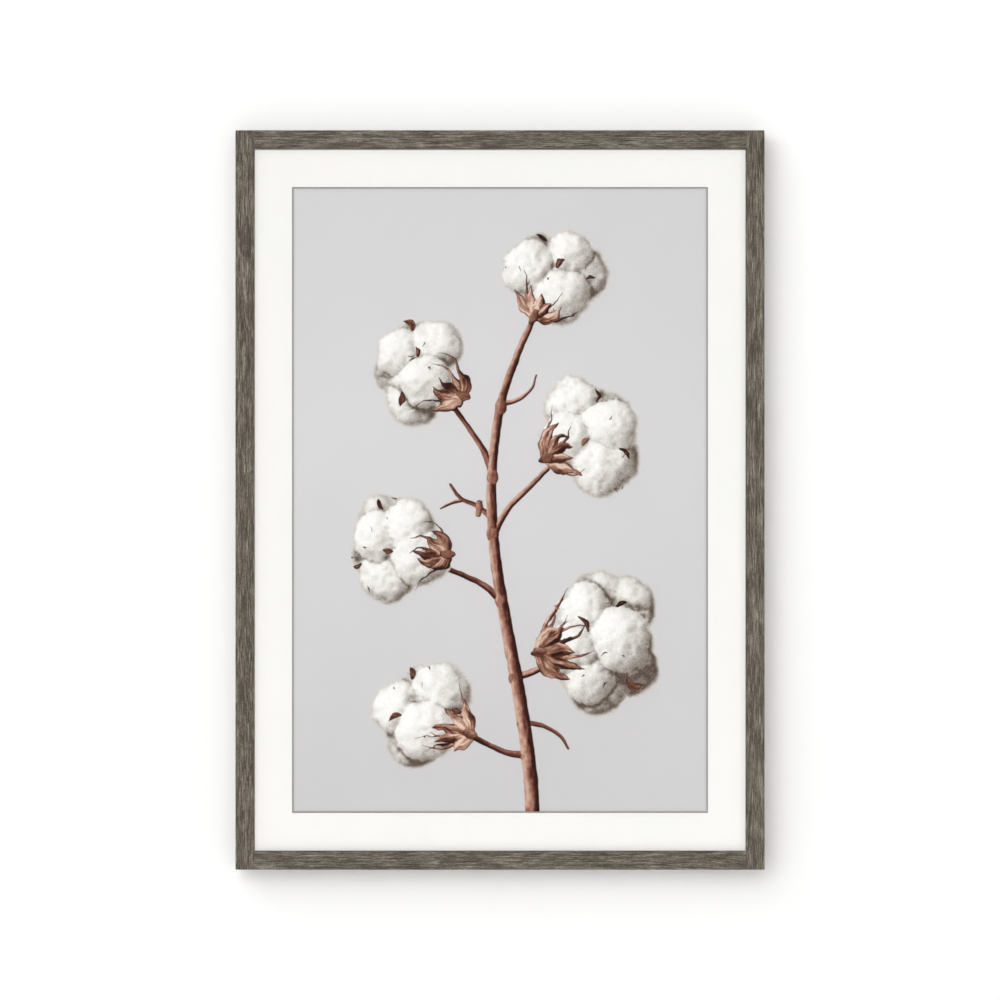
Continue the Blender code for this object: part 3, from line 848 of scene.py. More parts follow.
OUTSIDE = -99.0
LAMP = np.array((-0.62, 0.46, 0.62))              # in the picture: right, up, towards the viewer
LAMP = LAMP / np.linalg.norm(LAMP)
lamp_flat = LAMP[:2] / np.linalg.norm(LAMP[:2])


class Layer:
    """One layer of the picture: depth inside the outline, tone, and height above the paper."""

    def __init__(self):
        self.depth = np.full(X.shape, OUTSIDE)
        self.height = np.full(X.shape, OUTSIDE)
        self.tone = np.full(X.shape, 0.5)

    def stroke(self, points, light, contrast, streak, seed, wobble=0.4, rim=0.0, steps=10):
        """Lay a round tapered stroke along a line, lit from the lamp's side."""
        line = through(points, steps)
        area = patch_around(line[:, 0], line[:, 1], 4.0 + line[:, 2].max())
        x = X[area] + wobble * cloud(X[area], Z[area], 6.0, 2, seed)
        z = Z[area] + wobble * cloud(X[area], Z[area], 6.0, 2, seed + 50)
        depth, side = np.full(x.shape, OUTSIDE), np.zeros(x.shape)
        along, height, run = np.zeros(x.shape), np.zeros(x.shape), 0.0
        for start, stop in zip(line[:-1], line[1:]):
            way = stop[:2] - start[:2]
            length = max(1e-6, math.hypot(*way))
            t = np.clip(((x - start[0]) * way[0] + (z - start[1]) * way[1]) / length**2, 0, 1)
            off_x, off_z = x - start[0] - t * way[0], z - start[1] - t * way[1]
            off = np.hypot(off_x, off_z)
            radius = start[2] + (stop[2] - start[2]) * t
            nearer = radius - off > depth
            depth = np.where(nearer, radius - off, depth)
            turned = (way[0] * off_z - way[1] * off_x) / length / np.maximum(radius, 0.3)
            side = np.where(nearer, np.clip(turned, -1, 1), side)
            along = np.where(nearer, run + t * length, along)
            rise = start[3] + (stop[3] - start[3]) * t + np.sqrt(np.maximum(0, radius**2 - off**2))
            height = np.where(nearer, rise, height)
            run += length
        way = line[-1, :2] - line[0, :2]
        facing = float(np.dot((-way[1], way[0]), lamp_flat) / np.hypot(*way))
        lit = side * np.sign(facing)
        tone = light + contrast * max(0.35, abs(facing)) * (0.9 * lit + 0.28 * (1 - lit**2) - 0.1)
        tone += streak * (0.7 * lattice_noise(side * 5, along * 0.13, 1.0, seed + 7)
                          + 0.7 * lattice_noise(side * 2, along * 0.06, 1.0, seed + 9))
        tone += 0.08 * cloud(X[area], Z[area], 3.0, 3, seed + 20) - rim * (1 - ease_in(0.0, 0.9, depth))
        here = self.height[area]
        over = np.where(depth > 0, height > here, (depth > self.depth[area]) & (here <= OUTSIDE))
        self.tone[area] = np.where(over, tone, self.tone[area])
        self.height[area] = np.where(over & (depth > 0), height, here)
        self.depth[area] = np.maximum(self.depth[area], depth)


print("the picture's lamp shines from", LAMP.round(2))

# %% [markdown]
# ## The print: branch, bolls and husks
# The branch grows as a line through a few points, thinner towards its tip, with a swelling wherever
# a twig leaves it. An open boll is four or five locks of lint round a core, and each lock is a run
# of balls that melt into each other. Its shape is kept as a height above the paper, because the
# light, the shade in the creases and the cast shadows can all be worked out from a height.
# Husks are dry leaf-like flaps: short strokes that leave the boll's foot and curl at the tip.

# %% Grow the branch
behind, before = Layer(), Layer()
STEM = [(32, -316, 7.0, 4), (29, -262, 6.8, 4), (19, -190, 6.4, 4), (6, -120, 5.9, 3),
        (-5, -50, 5.3, 3), (-8, 20, 4.7, 2), (0, 88, 4.1, 2), (17, 140, 3.4, 2), (31, 172, 2.8, 2)]
behind.stroke(STEM, 0.36, 1.15, 0.26, 5, 0.35, steps=12)
TWIGS = [
    [(-7, 24, 3.6, 1), (-16, 48, 2.9, 2), (-32, 72, 2.4, 3), (-46, 92, 2.3, 4)],
    [(-7, -34, 3.8, 2), (8, -8, 3.1, 3), (28, 12, 2.6, 4), (46, 30, 2.4, 6)],
    [(1, -96, 3.8, 2), (-16, -82, 3.0, 3), (-36, -72, 2.6, 4), (-56, -64, 2.4, 5)],
    [(15, -170, 4.0, 2), (30, -166, 3.2, 4), (46, -158, 2.7, 6), (60, -150, 2.4, 8)],
    [(27, -246, 4.0, 2), (6, -243, 3.0, 3), (-14, -234, 2.6, 4), (-34, -224, 2.4, 5)],
    [(-7, -18, 3.0, 2), (-22, -6, 2.2, 2), (-38, 2, 1.9, 2), (-48, 15, 1.3, 2)],
    [(-35, 0, 1.8, 2), (-47, -3, 1.5, 2), (-57, -8, 0.9, 2)],
    [(2, 92, 2.7, 2), (18, 97, 2.0, 2), (30, 107, 1.5, 2), (35, 120, 1.0, 2)],
    [(22, -214, 3.0, 2), (40, -217, 2.1, 2), (57, -226, 1.8, 2), (66, -239, 1.1, 2)]]
for number, twig in enumerate(TWIGS):
    behind.stroke(twig, 0.41, 1.0, 0.22, 60 + number, 0.35)
KNOTS = [(-7, 22, 5.9), (-7, -32, 5.9), (1, -96, 5.9), (14, -170, 5.9), (26, -246, 5.9), (1, 90, 5.9),
         (-20, -8, 3.2), (22, -214, 5.9)]         # x, z, half width
for number, (x, z, fat) in enumerate(KNOTS):
    behind.stroke([(x - 1, z - 6, 2.4, 4), (x, z, fat, 4), (x + 0.5, z + 6, 2.4, 4)],
                  0.54, 0.45, 0.2, 90 + number, 0.8, 0.12)
print("branch and", len(TWIGS), "twigs")

# %% Pack the bolls
BOLLS = [                                         # x, z, radius, way it opens in degrees, lift, locks, seed
    (50, 216, 56, 66, 0.50, 4, 3), (-76, 124, 61, 150, 0.55, 5, 11), (90, 60, 64, 24, 0.60, 5, 23),
    (-96, -46, 60, 172, 0.48, 5, 31), (96, -138, 76, 8, 0.66, 8, 47), (-72, -208, 60, 158, 0.52, 5, 58)]


def melt(first, second, reach):
    share = np.clip(0.5 + 0.5 * (first - second) / reach, 0, 1)
    return second * (1 - share) + first * share + reach * share * (1 - share)


def opening_of(angle, lift):
    """The way a boll opens, and two ways across it."""
    angle, level = math.radians(angle), math.sqrt(1 - lift**2)
    axis = np.array((math.cos(angle) * level, math.sin(angle) * level, lift))
    first = np.cross(axis, (0, 0, 1.0))
    first /= np.linalg.norm(first)
    return axis, first, np.cross(axis, first)


def lock_balls(x, z, radius, angle, lift, locks, seed):
    """Each lock's balls as (x, z, height, radius): one big, with small ones that break its outline."""
    rng = np.random.default_rng(seed)
    axis, first, second = opening_of(angle, lift)
    turn = rng.uniform(0, 2 * math.pi)
    result, spacing = [], 0.37 + 0.02 * locks
    for k in range(locks + 1):
        phi = turn + 2 * math.pi * (k + rng.uniform(-0.18, 0.18)) / locks
        ring = math.cos(phi) * first + math.sin(phi) * second
        if k < locks:
            centre = rng.uniform(-0.14, 0.20) * axis + spacing * ring
            fat = rng.uniform(0.42, 0.52) * (5 / locks)**0.45
        else:
            centre, fat = 0.46 * axis + 0.14 * ring, rng.uniform(0.38, 0.46)
        balls = [(centre, fat)]
        for _ in range(5):
            off = rng.normal(size=3)
            off *= rng.uniform(0.40, 0.62) * fat / np.linalg.norm(off)
            balls.append((centre + off, fat * rng.uniform(0.42, 0.56)))
        result.append([(x + radius * c[0], z + radius * c[1], radius * c[2], radius * f) for c, f in balls])
    return result


NO_WOOL = -60.0                                   # the height where no wool is
cotton_depth = np.full(X.shape, OUTSIDE)
cotton_height = np.full(X.shape, NO_WOOL)
for number, boll in enumerate(BOLLS):
    area = patch_around(boll[0], boll[1], 1.45 * boll[2])
    x, z = [spots[area] + 1.7 * cloud(X[area], Z[area], 13.0, 4, seed + number, 0.55)
            for spots, seed in ((X, 100), (Z, 150))]
    top, depth = np.full(x.shape, NO_WOOL), np.full(x.shape, OUTSIDE)
    for balls in lock_balls(*boll):
        lock_top, lock_depth = np.full(x.shape, NO_WOOL), np.full(x.shape, OUTSIDE)
        for ball_x, ball_z, ball_height, radius in balls:
            off = np.hypot(x - ball_x, z - ball_z)
            dome = ball_height + np.sqrt(np.maximum(0, radius**2 - off**2))
            lock_top = melt(lock_top, dome - 3.0 * np.maximum(0, off - radius), 5.0)
            lock_depth = melt(lock_depth, radius - off, 3.0)
        top, depth = np.maximum(top, lock_top), melt(depth, lock_depth, 1.2)
    cotton_depth[area] = np.maximum(cotton_depth[area], depth)
    cotton_height[area] = np.maximum(cotton_height[area], top)
print(len(BOLLS), "bolls cover", round(100 * float((cotton_depth > 0).mean())), "% of the sheet")

# %% Fold the husks round each boll's foot
def heading(angle):
    return np.array((math.cos(angle), math.sin(angle)))


FLAP_TURNS = (-1.15, -0.55, 0.05, 0.6, 1.2)        # radians off the way the boll opens
THIN_FLAPS = 7
for x0, z0, radius, angle, _, _, seed in BOLLS:
    rng = np.random.default_rng(seed + 900)
    angle = math.radians(angle)
    way = heading(angle)
    foot = np.array((x0, z0)) - way * radius * 0.78
    for k in range(len(FLAP_TURNS) + THIN_FLAPS):
        broad = k < len(FLAP_TURNS)
        spread = FLAP_TURNS[k] + rng.uniform(-0.15, 0.15) if broad else rng.uniform(-1.4, 1.4)
        reach = radius * (rng.uniform(0.34, 0.58) if broad else rng.uniform(0.25, 0.85))
        width = radius * (rng.uniform(0.075, 0.125) if broad else rng.uniform(0.014, 0.035))
        curl = angle + spread * 0.5 + rng.uniform(-0.7, 0.7)
        middle = foot + heading(angle + spread) * reach * 0.42
        late = foot + heading(angle + spread * 0.85) * reach * 0.78
        tip = late + heading(curl) * reach * 0.32
        flap = [(*foot, width * 0.6, 30), (*middle, width, 34), (*late, width * 0.55, 38), (*tip, 0.3, 40)]
        before.stroke(flap, rng.uniform(0.32, 0.78), 0.50, 0.52, seed + 7 * k, 1.1, 0.30, steps=8)
    before.stroke([(*(foot - way * 5), 2.4, 42), (*foot, 4.4, 42), (*(foot + way * 5), 2.8, 42)],
                  0.42, 0.3, 0.24, seed + 99, 0.9, 0.25)
print("husks on", len(BOLLS), "bolls")

# %% Husk tips and bits of chaff between the locks
TIPS, CHAFF_BITS = 3, 9                            # in each boll


def dips_of(x0, z0, radius, rng):
    """Places inside a boll where the wool lies lowest, well apart from each other."""
    found = []
    tries = rng.uniform(-0.8, 0.8, (600, 2)) * radius + (x0, z0)
    tries = tries[read_field(cotton_depth, tries) > 0.10 * radius]
    lows = read_field(blurred_height, tries) - read_field(cotton_height, tries)
    for spot in tries[np.argsort(-lows)]:
        if all(np.hypot(*(spot - other)) > 0.38 * radius for other in found):
            found.append(spot)
        if len(found) == TIPS:
            break
    return found


def read_field(field, places):
    """Read a grid field between its spots."""
    column = np.clip((places[:, 0] - grid_x[0]) / SPOT, 0, len(grid_x) - 1.001)
    row = np.clip((places[:, 1] - grid_z[0]) / SPOT, 0, len(grid_z) - 1.001)
    i, j = column.astype(int), row.astype(int)
    s, t = column - i, row - j
    return ((field[j, i] * (1 - s) + field[j, i + 1] * s) * (1 - t)
            + (field[j + 1, i] * (1 - s) + field[j + 1, i + 1] * s) * t)


blurred_height = blurred(cotton_height, 6.0)
for boll in BOLLS:
    rng = np.random.default_rng(boll[6] + 1700)
    centre, radius = np.array(boll[:2]), boll[2]
    for spot in dips_of(*boll[:3], rng):
        turn = math.atan2(*(spot - centre)[::-1]) + rng.uniform(-0.8, 0.8)
        length, width = [radius * rng.uniform(*limits) for limits in ((0.12, 0.24), (0.025, 0.055))]
        end = spot + heading(turn + rng.uniform(-0.7, 0.7)) * length
        half = spot + heading(turn) * length * 0.5
        before.stroke([(*spot, width * 0.5, 40), (*half, width, 41), (*end, 0.3, 42)],
                      rng.uniform(0.10, 0.45), 0.3, 0.3, boll[6] + int(spot[0]) % 17, 0.9, 0.2, steps=8)
    for _ in range(CHAFF_BITS):
        spot = centre + rng.uniform(-0.8, 0.8, 2) * radius
        if read_field(cotton_depth, spot[None])[0] > 1.0:
            way = heading(rng.uniform(0, 6.3)) * rng.uniform(0.8, 4.0)
            bend = heading(rng.uniform(0, 6.3)) * rng.uniform(0.5, 2.0)
            fat = rng.uniform(0.35, 0.75)
            bit = [(*(spot - way), fat * 0.5, 44), (*(spot + bend), fat, 44), (*(spot + way), 0.25, 44)]
            before.stroke(bit, rng.uniform(0.05, 0.5), 0.2, 0.2, boll[6] + 5, 0.3, steps=6)
print("chaff laid")

# %% Light the wool
wool = 1.5 * cloud(X, Z, 12.0, 2, 300)
wool += 1.05 * cloud(X + 2 * cloud(X, Z, 9.0, 2, 305), Z, 5.5, 4, 310, 0.6)
height = cotton_height + np.where(cotton_depth > -2, wool, 0)
slope_z, slope_x = np.gradient(blurred(height, 1.0), SPOT)
facing = (LAMP[2] - slope_x * LAMP[0] - slope_z * LAMP[1]) / np.sqrt(slope_x**2 + slope_z**2 + 1)
is_cotton = cotton_depth > 0
creases = 0.0
for radius, weight in ((2.0, 0.085), (5.0, 0.036), (12.0, 0.012)):
    filled = np.maximum(blurred(is_cotton * 1.0, radius), 0.05)
    around = blurred(np.where(is_cotton, height, 0.0), radius) / filled
    creases = creases + weight * np.maximum(0, around - height)


def cast_on(surface, blockers, reaches):
    """How far each spot lies in the shade of higher things towards the lamp."""
    climb = LAMP[2] / math.hypot(LAMP[0], LAMP[1])
    shade = np.zeros(X.shape)
    for reach in np.geomspace(2.0, 46.0, reaches):
        step = np.round(lamp_flat * reach / SPOT).astype(int)
        lift = np.roll(blockers, (-step[1], -step[0]), (0, 1)) - surface - reach * climb
        shade = np.maximum(shade, np.clip(lift / (2.0 + 0.3 * reach), 0, 1))
    return blurred(shade, 1.2)


shade = cast_on(height, np.maximum(height, np.maximum(before.height, behind.height)), 16)
cotton_tone = 0.50 + 0.51 * np.maximum(facing, -0.12) - 0.13 * shade
cotton_tone = cotton_tone - np.clip(creases, 0, 0.44) + 0.03 * cloud(X, Z, 2.2, 2, 330)
BRIGHT = 0.80                                     # lighter tones are drawn in a little
cotton_tone = np.where(cotton_tone > BRIGHT, BRIGHT + 0.95 * (cotton_tone - BRIGHT),
                       np.maximum(cotton_tone, 0.12))
thin = 0.85 * (1 - ease_in(0.0, 5.0, cotton_depth))  # light comes through the lint at its edge
cotton_tone = cotton_tone * (1 - thin) + np.maximum(cotton_tone, 0.69) * thin
for layer in (behind, before):
    layer.tone = layer.tone - 0.30 * cast_on(layer.height, height, 12)
print("cotton tone", round(float(cotton_tone[is_cotton].mean()), 3))

# %% [markdown]
# ## The print: a sheet that carries the picture
# The layers reach the material as attributes of the sheet's points, so the sheet needs many points
# where outlines and tones change, and few on the bare ground. An even grid would spend them all
# on the ground. Here points are scattered at three spacings, fine along outlines, and joined into
# triangles by a Delaunay triangulation. The paper also has an edge and a back, so it is closed.

# %% Triangulate the sheet
WOOL_STEP, LINE_STEP, GROUND_STEP = 1.20, 0.72, 7.0
bark = np.maximum(behind.depth, before.depth)
fine_zone = bark > -1.4
wool_zone = (cotton_depth > -4.0) & ~fine_zone
rng = np.random.default_rng(2)


def scatter(step, zone):
    """Jittered points at the given spacing inside a zone, clear of the sheet's rim."""
    half = np.array(SHEET_SIZE) / 2 - 0.6 * step
    across = np.arange(-half[0], half[0], step)
    up = np.arange(-half[1], half[1], step * 0.866)
    places = np.array([(x + (k % 2) * step / 2, z) for k, z in enumerate(up) for x in across])
    places += rng.uniform(-0.12, 0.12, places.shape) * step
    places = places[np.all(np.abs(places) < half, axis=1)]
    return places[read_field(zone * 1.0, places) > 0.5]


def rim(step):
    half_x, half_z = np.array(SHEET_SIZE) / 2
    across = np.linspace(-half_x, half_x, int(2 * half_x / step) + 1)
    up = np.linspace(-half_z, half_z, int(2 * half_z / step) + 1)
    corners = [(x, -half_z) for x in across[:-1]] + [(half_x, z) for z in up[:-1]]
    return np.array(corners + [(-x, -z) for x, z in corners])


places = np.vstack([rim(3.0), scatter(LINE_STEP, fine_zone), scatter(WOOL_STEP, wool_zone),
                    scatter(GROUND_STEP, ~(fine_zone | wool_zone))])
spots = [Vector(place) for place in places]
flat_points, _, flat_faces = delaunay_2d_cdt(spots, [], [], 0, 1e-6, False)[:3]
print("sheet", len(flat_points), "points", len(flat_faces), "triangles in front")

# %% Close the sheet and hand it the picture
def make_sheet():
    flat = np.array([(*point,) for point in flat_points])
    front = np.column_stack([flat[:, 0] * MM, np.full(len(flat), sheet_low.y), flat[:, 1] * MM])
    half = np.array(SHEET_SIZE) / 2
    on_rim = [k for k in range(len(flat)) if np.any(np.abs(np.abs(flat[k]) - half) < 1e-3)]
    on_rim.sort(key=lambda k: math.atan2(flat[k, 1], flat[k, 0]))
    back = front[on_rim] + (0.0, sheet_high.y - sheet_low.y, 0.0)
    first, middle = len(front), len(front) + len(back)
    points = np.vstack([front, back, [(0.0, sheet_high.y, 0.0)]])
    faces = [tuple(face) for face in flat_faces]
    for k, corner in enumerate(on_rim):
        after = (k + 1) % len(on_rim)
        faces.append((on_rim[after], corner, first + k, first + after))
        faces.append((first + after, first + k, middle))
    mesh = bpy.data.meshes.new("print")
    mesh.from_pydata(points.tolist(), [], faces)
    depths = [behind.depth, cotton_depth, before.depth]
    tones = [behind.tone, cotton_tone, before.tone]
    for name, fields, low, high in (("outlines", depths, -9.0, 9.0), ("tones", tones, 0.0, 1.0)):
        values = [np.clip(read_field(field, points[:, ::2] / MM), low, high) for field in fields]
        store(mesh, name, np.column_stack(values))
    return mesh


print_mesh = make_sheet()
corner_count = sum(len(face.vertices) for face in print_mesh.polygons)
print("print rim closed:", 2 * len(print_mesh.edges) == corner_count)

# %% [markdown]
# ## The print: ink on paper
# The material mixes four inks, one over the other: ground, branch, wool, husks. Each outline is a
# depth in millimetres, so a narrow step in it gives a crisp edge for bark, and a wide step that noise
# disturbs gives the soft edge of wool. The tone of each layer picks its colour from a ramp.

# %% Mix the inks
print_paper, tree, shader = new_material("print_paper")
outlines = split(stored_value("outlines", "Vector"))
tones = split(stored_value("tones", "Vector"))
place = place_in(tree)
sides = split(place)


def paper_noise(scale, detail, roughness=0.5, stretch=None):
    return noise(place, scale, detail, roughness, 0.8, stretch)


# ground: paler at mid height, with a faint laid texture
height_share = remap(sides["Z"], -0.31, 0.31, 0.0, 1.0, smooth=False)
drift = calc("ADD", height_share, swing(paper_noise(9.0, 2.0), 0.25))
drift = calc("ADD", drift, swing(paper_noise(160.0, 3.0, 0.6, (1.0, 1.0, 0.35)), 0.10))
ground = colour_ramp(drift, (0.0, 207, 206, 207), (0.30, 212, 211, 212),
                     (0.62, 217, 216, 217), (1.0, 213, 212, 213))
ground = blend(remap(sides["X"], 0.0, 0.2, 0.0, 0.5, smooth=False), ground, chart(209, 208, 209))
# painted shade: the ground is darkened within 3.4 mm of the window's cut, standing in for the window's own
# shade
mat_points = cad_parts["window_mat"].data.vertices
window_x, window_z = [min(abs(point.co[axis]) for point in mat_points) for axis in (0, 2)]
inside_x = calc("SUBTRACT", window_x, calc("ABSOLUTE", sides["X"]))
inside_z = calc("SUBTRACT", window_z, calc("ABSOLUTE", sides["Z"]))
shaded = remap(calc("MINIMUM", inside_x, inside_z), 0.0, 3.4 * MM, 0.13, 0.0)
# branch, wool, husks
grit = swing(paper_noise(900.0, 3.0, 0.6), 0.35)
bark = colour_ramp(
    calc("ADD", tones["X"], grit),
    (0.0, 44, 16, 10), (0.25, 84, 41, 31), (0.5, 130, 82, 68), (0.75, 168, 124, 107), (1.0, 208, 172, 154))
fibre = swing(paper_noise(620.0, 4.0, 0.7), 0.10)
for scale, amount in ((330.0, 0.09), (470.0, -0.07)):  # hairs: thin lines where noise crosses its middle
    crossing = calc("ABSOLUTE", swing(paper_noise(scale, 2.0), 2.0))
    fibre = calc("ADD", fibre, remap(crossing, 0.0, 0.12, amount, 0.0))
lint = colour_ramp(
    calc("ADD", tones["Y"], fibre),
    (0.0, 60, 40, 31), (0.16, 104, 90, 81), (0.32, 146, 137, 129), (0.48, 182, 177, 171),
    (0.64, 211, 207, 202), (0.80, 234, 232, 228), (1.0, 252, 251, 249))
husk = colour_ramp(
    calc("ADD", tones["Z"], grit),
    (0.0, 40, 16, 10), (0.25, 90, 51, 38), (0.5, 138, 96, 78), (0.75, 186, 146, 126),
    (1.0, 230, 205, 188))
fuzz = calc("ADD", outlines["Y"], swing(paper_noise(400.0, 4.0, 0.75), 9.0))
picture = blend(remap(outlines["X"], -0.4, 0.4), ground, bark)
picture = blend(remap(fuzz, -1.5, 1.1), picture, lint)
picture = blend(remap(outlines["Z"], -0.4, 0.4), picture, husk)
# the painted shade along the window's edge, multiplied over the picture
picture = blend(shaded, picture, chart(120, 118, 120), "MULTIPLY")
fill(shader, {"Base Color": picture, "Roughness": 0.72, "Specular IOR Level": 0.08})
relief(shader, paper_noise(2200.0, 3.0), 0.02 * MM, 0.5)
print_mesh.materials.append(print_paper)
keep_piece("print_of_cotton_branch", print_mesh, "frame", "print_paper", "print_sheet")

# %% [markdown]
# ## Window mat and glass
# The mat is thick board, white on both faces. Its window is cut with a slanted blade, and the CAD
# node has that bevel already, so only its finish is made here: where the normal slants, the bevel is
# painted grey, a painted shade line along the window's edge on all four sides. The glass is a
# sheet with a coating that keeps nearly all reflections away, as good picture glass has. Glass with
# true refraction would hold back the light from the print, so a thin sheet is mixed from a
# transparent part and a mirror part, by Fresnel, with a trace of dust.

# %% Helper that gives a CAD node its finish
def finish_node(material, *names):
    for name in names:
        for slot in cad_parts[name].material_slots:
            slot.material = material
    print(material.name, "on", len(names), "nodes")


def nodes_of(start):
    return [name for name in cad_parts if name.startswith(start)]


# %% The mat board
window_board, tree, shader = new_material("window_mat_board")
place = place_in(tree)
fibres = noise(place, 1400.0, 4.0, 0.65)
mottle = noise(place, 22.0, 3.0)
face = colour_ramp(mottle, (0.3, 242, 242, 239), (0.7, 244, 243, 240))
# the bevel's grey is painted shade: a dark line along all four sides of the window
bevel_shade_grey = colour_ramp(fibres, (0.3, 150, 148, 147), (0.7, 168, 166, 165))
normal = split(add(tree, "ShaderNodeNewGeometry").outputs["Normal"])
slant = calc("MULTIPLY", remap(normal["Y"], -0.95, -0.80), remap(normal["Y"], -0.60, -0.45, 1.0, 0.0))
fill(shader, {"Base Color": blend(slant, face, bevel_shade_grey), "Roughness": 0.88, "Specular IOR Level": 0.2})
relief(shader, fibres, 0.03 * MM, 0.6)
finish_node(window_board, "window_mat", "mount_board")

# %% The glass
picture_glass = bpy.data.materials.new("picture_glass")
picture_glass.use_nodes = True
tree = picture_glass.node_tree
tree.nodes.clear()
dust = noise(place_in(tree), 60.0, 5.0, 0.7)
clear = out(tree, "ShaderNodeBsdfTransparent", {"Color": (0.998, 0.998, 0.998, 1.0)})
mirror = out(tree, "ShaderNodeBsdfGlossy", {"Color": (1.0, 1.0, 1.0, 1.0),
             "Roughness": remap(dust, 0.35, 0.75, 0.03, 0.10)})
fresnel = out(tree, "ShaderNodeFresnel", {"IOR": 1.16})
sheet = out(tree, "ShaderNodeMixShader", {"Fac": fresnel, 1: clear, 2: mirror})
add(tree, "ShaderNodeOutputMaterial", {"Surface": sheet})
finish_node(picture_glass, "glazing")

# %% [markdown]
# ## Behind the print: board, tape and dowels
# The back is closed with hardboard: wood fibres pressed hard and brown, smooth, with darker flecks
# and slight clouds. Strips of linen tape hang the print on its mount, and beech dowels sit in the
# joints. None of these has a shape that the CAD nodes lack, so only finishes are made.

# %% Hardboard
hardboard, tree, shader = new_material("pressed_hardboard")
place = place_in(tree)


def board_noise(scale, detail, roughness, stretch=None):
    return noise(place, scale, detail, roughness, 0.6, stretch)


clouds = board_noise(14.0, 4.0, 0.6)
pulp = board_noise(900.0, 5.0, 0.7, (1.0, 1.0, 0.5))
hairs = board_noise(1500.0, 2.0, 0.5, (0.16, 1.0, 1.4))
flecks = remap(board_noise(800.0, 3.0, 0.6, (1.0, 1.0, 0.4)), 0.63, 0.71)
tone = swing(hairs, 0.5, swing(pulp, 1.0, swing(clouds, 0.28, 0.5)))
brown = colour_ramp(tone, (0.2, 96, 70, 46), (0.5, 127, 97, 67), (0.8, 154, 122, 88))
fill(shader, {"Base Color": blend(calc("MULTIPLY", flecks, 0.55), brown, chart(74, 50, 33)),
              "Roughness": remap(clouds, 0.3, 0.7, 0.50, 0.64)})
relief(shader, calc("ADD", pulp, hairs), 0.05 * MM, 0.7)
finish_node(hardboard, "backing_board")

# %% Linen tape and dowel wood
linen_tape, tree, shader = new_material("woven_linen_tape")
threads = {"Vector": place_in(tree), "Scale": 700.0, "Distortion": 0.6, "Detail": 1.0}
warp, weft = [add(tree, "ShaderNodeTexWave", threads, bands_direction=way).outputs["Fac"] for way in "XZ"]
weave = calc("MAXIMUM", warp, weft)
linen = colour_ramp(weave, (0.0, 196, 190, 172), (1.0, 233, 229, 214))
fill(shader, {"Base Color": linen, "Roughness": 0.92})
relief(shader, weave, 0.08 * MM)
finish_node(linen_tape, *nodes_of("hinge_tape_"))

dowel_wood, tree, shader = new_material("beech_dowel")
along_x = out(tree, "ShaderNodeMapping", {"Vector": place_in(tree), "Rotation": (0.0, math.pi / 2, 0.0)})
beech = use_group(tree, grain_group, {"Vector": along_x, "Across": 0.5 * MM, "Along": 5 * MM,
                                      "Wander": 0.3, "Shift": 2.0})["Streak"]
fill(shader, {"Base Color": colour_ramp(beech, (0.3, 171, 131, 88), (0.7, 207, 170, 124)), "Roughness": 0.7})
relief(shader, beech, 0.04 * MM)
finish_node(dowel_wood, *nodes_of("dowel_"))

# %% [markdown]
# ## Metal on the back
# Two steels are used. Hangers are zinc plated: pale, slightly blue, with soft cloudy patches where the
# plating is thicker. Tabs and corrugated nails are plain steel, blued and oiled, darker and blotchy.
# Both have fine scratches from handling, so the wear is one node group with its own values in each.

# %% The wear group
wear_group, given = open_group("metal_wear", [
    ("Vector", "NodeSocketVector", None), ("Patch Size", "NodeSocketFloat", 0.004),
    ("Scratch Size", "NodeSocketFloat", 0.0004)],
    [("Patches", "NodeSocketFloat"), ("Scratches", "NodeSocketFloat")])
big, small = [vector_calc("SCALE", given["Vector"], calc("DIVIDE", 1.0, given[size]))
              for size in ("Patch Size", "Scratch Size")]
leaning = out(wear_group, "ShaderNodeMapping", {"Vector": small, "Rotation": (0.0, 0.6, 0.0),
                                                "Scale": (1.0, 1.0, 0.07)})
patches = noise(big, 1.0, 4.0, 0.6, 0.8)
lines = noise(leaning, 1.0, 2.0)
add(wear_group, "NodeGroupOutput", {"Patches": patches, "Scratches": remap(lines, 0.62, 0.72)})
print("wear group ready")


# %% Zinc and oiled steel
def make_steel(name, dull, bright, scratch, patch_size, rough_low, rough_high):
    """A plated or oiled steel: two tones in patches, with scratches of a third."""
    material, tree, shader = new_material(name)
    wear = use_group(tree, wear_group, {"Vector": place_in(tree), "Patch Size": patch_size,
                                        "Scratch Size": 0.35 * MM})
    plated = colour_ramp(wear["Patches"], (0.35, *dull), (0.65, *bright))
    marked = blend(calc("MULTIPLY", wear["Scratches"], 0.5), plated, chart(*scratch))
    fill(shader, {"Base Color": marked, "Metallic": 1.0,
                  "Roughness": remap(wear["Patches"], 0.3, 0.7, rough_high, rough_low)})
    relief(shader, calc("SUBTRACT", wear["Patches"], wear["Scratches"]), 0.02 * MM, 0.5)
    return material


zinc = make_steel("zinc_plated_steel", (186, 188, 190), (214, 215, 214), (232, 232, 232),
                  3 * MM, 0.26, 0.40)
oiled = make_steel("oiled_steel", (92, 90, 90), (122, 120, 118), (158, 156, 153), 4 * MM, 0.30, 0.46)
finish_node(zinc, *nodes_of("hanger_"))
finish_node(oiled, *nodes_of("tab_"), *nodes_of("corner_nail_"))

# %% Rubber bumpers
bumper_rubber, tree, shader = new_material("black_bumper_rubber")
bloom = noise(place_in(tree), 500.0, 4.0, 0.7)
fill(shader, {"Base Color": colour_ramp(bloom, (0.3, 52, 52, 54), (0.7, 68, 68, 70)),
              "Roughness": remap(bloom, 0.3, 0.7, 0.55, 0.75)})
relief(shader, bloom, 0.03 * MM)
finish_node(bumper_rubber, *nodes_of("bumper_"))

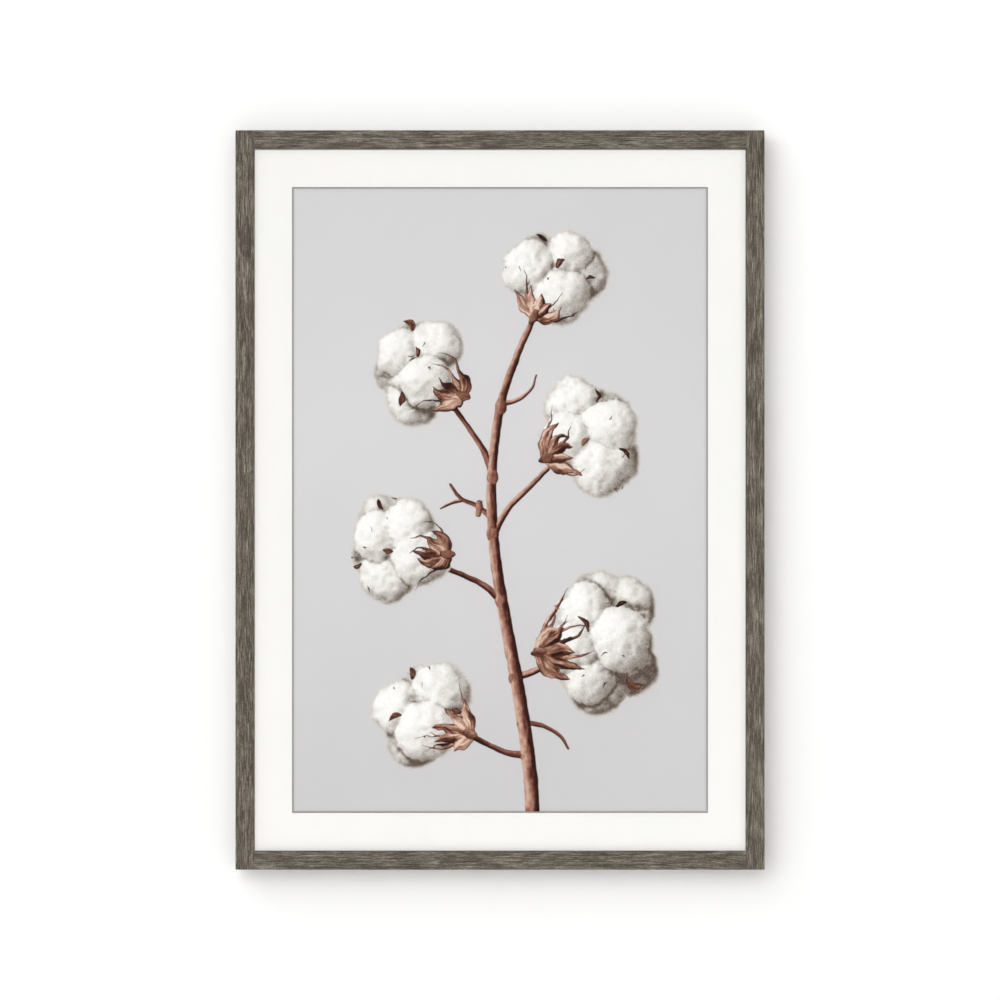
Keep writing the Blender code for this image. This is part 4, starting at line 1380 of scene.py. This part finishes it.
# %% [markdown]
# ## Hanger rings
# Each ring is a wire bent to a D and welded, which swings in the strap's folded eye. A wire is a
# circle carried along a path, so the tree takes the path's points and the wire's radius. The rings
# are the only pieces that move, so each rides on its own body.

# %% Bend the rings
WIRE_RADIUS, WIRE_SIDES = 1.0 * MM, 24
RING_CORNER = 1.2 * MM


def build_wire_tree():
    tree = bpy.data.node_groups.new("bent_wire", "GeometryNodeTree")
    given = tree_inputs(tree, ["Wire Radius"])
    path = out(tree, "GeometryNodeMeshToCurve", {"Mesh": given["Geometry"]})
    circle = out(tree, "GeometryNodeCurvePrimitiveCircle",
                 {"Resolution": WIRE_SIDES, "Radius": given["Wire Radius"]})
    wire = out(tree, "GeometryNodeCurveToMesh", {"Curve": path, "Profile Curve": circle})
    close_tree(tree, wire, given["Material"])
    return tree


wire_tree = build_wire_tree()


def arc_points(centre, radius, start, end, steps):
    turns = [math.radians(start + (end - start) * k / steps) for k in range(steps + 1)]
    return [(centre[0] + radius * math.cos(turn), centre[1] + radius * math.sin(turn)) for turn in turns]


def make_ring(side):
    node = "hanger_ring_" + side
    low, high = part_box(node)
    half = (high.x - low.x) / 2 - WIRE_RADIUS
    middle_x, hinge_y = (low.x + high.x) / 2, (low.y + high.y) / 2
    top = high.z - WIRE_RADIUS
    leg = high.z - low.z - 2 * WIRE_RADIUS - half
    right = arc_points((half - RING_CORNER, -RING_CORNER), RING_CORNER, 90, 0, 8)
    bow = arc_points((0.0, -leg), half, 0, -180, 40)
    path = right + bow + [(-x, z) for x, z in reversed(right)]
    line = loop_mesh("ring_path", [(middle_x + x, hinge_y, top + z) for x, z in path])
    wire = run_tree(line, wire_tree, {"Wire Radius": WIRE_RADIUS, "Material": zinc})
    work = bmesh.new()
    work.from_mesh(wire)
    bmesh.ops.recalc_face_normals(work, faces=work.faces)
    close_work(work, wire)
    wire.shade_smooth()
    keep_piece("ring_" + side, wire, side + "_ring", "hanger_steel", node)


for side in ("left", "right"):
    make_ring(side)
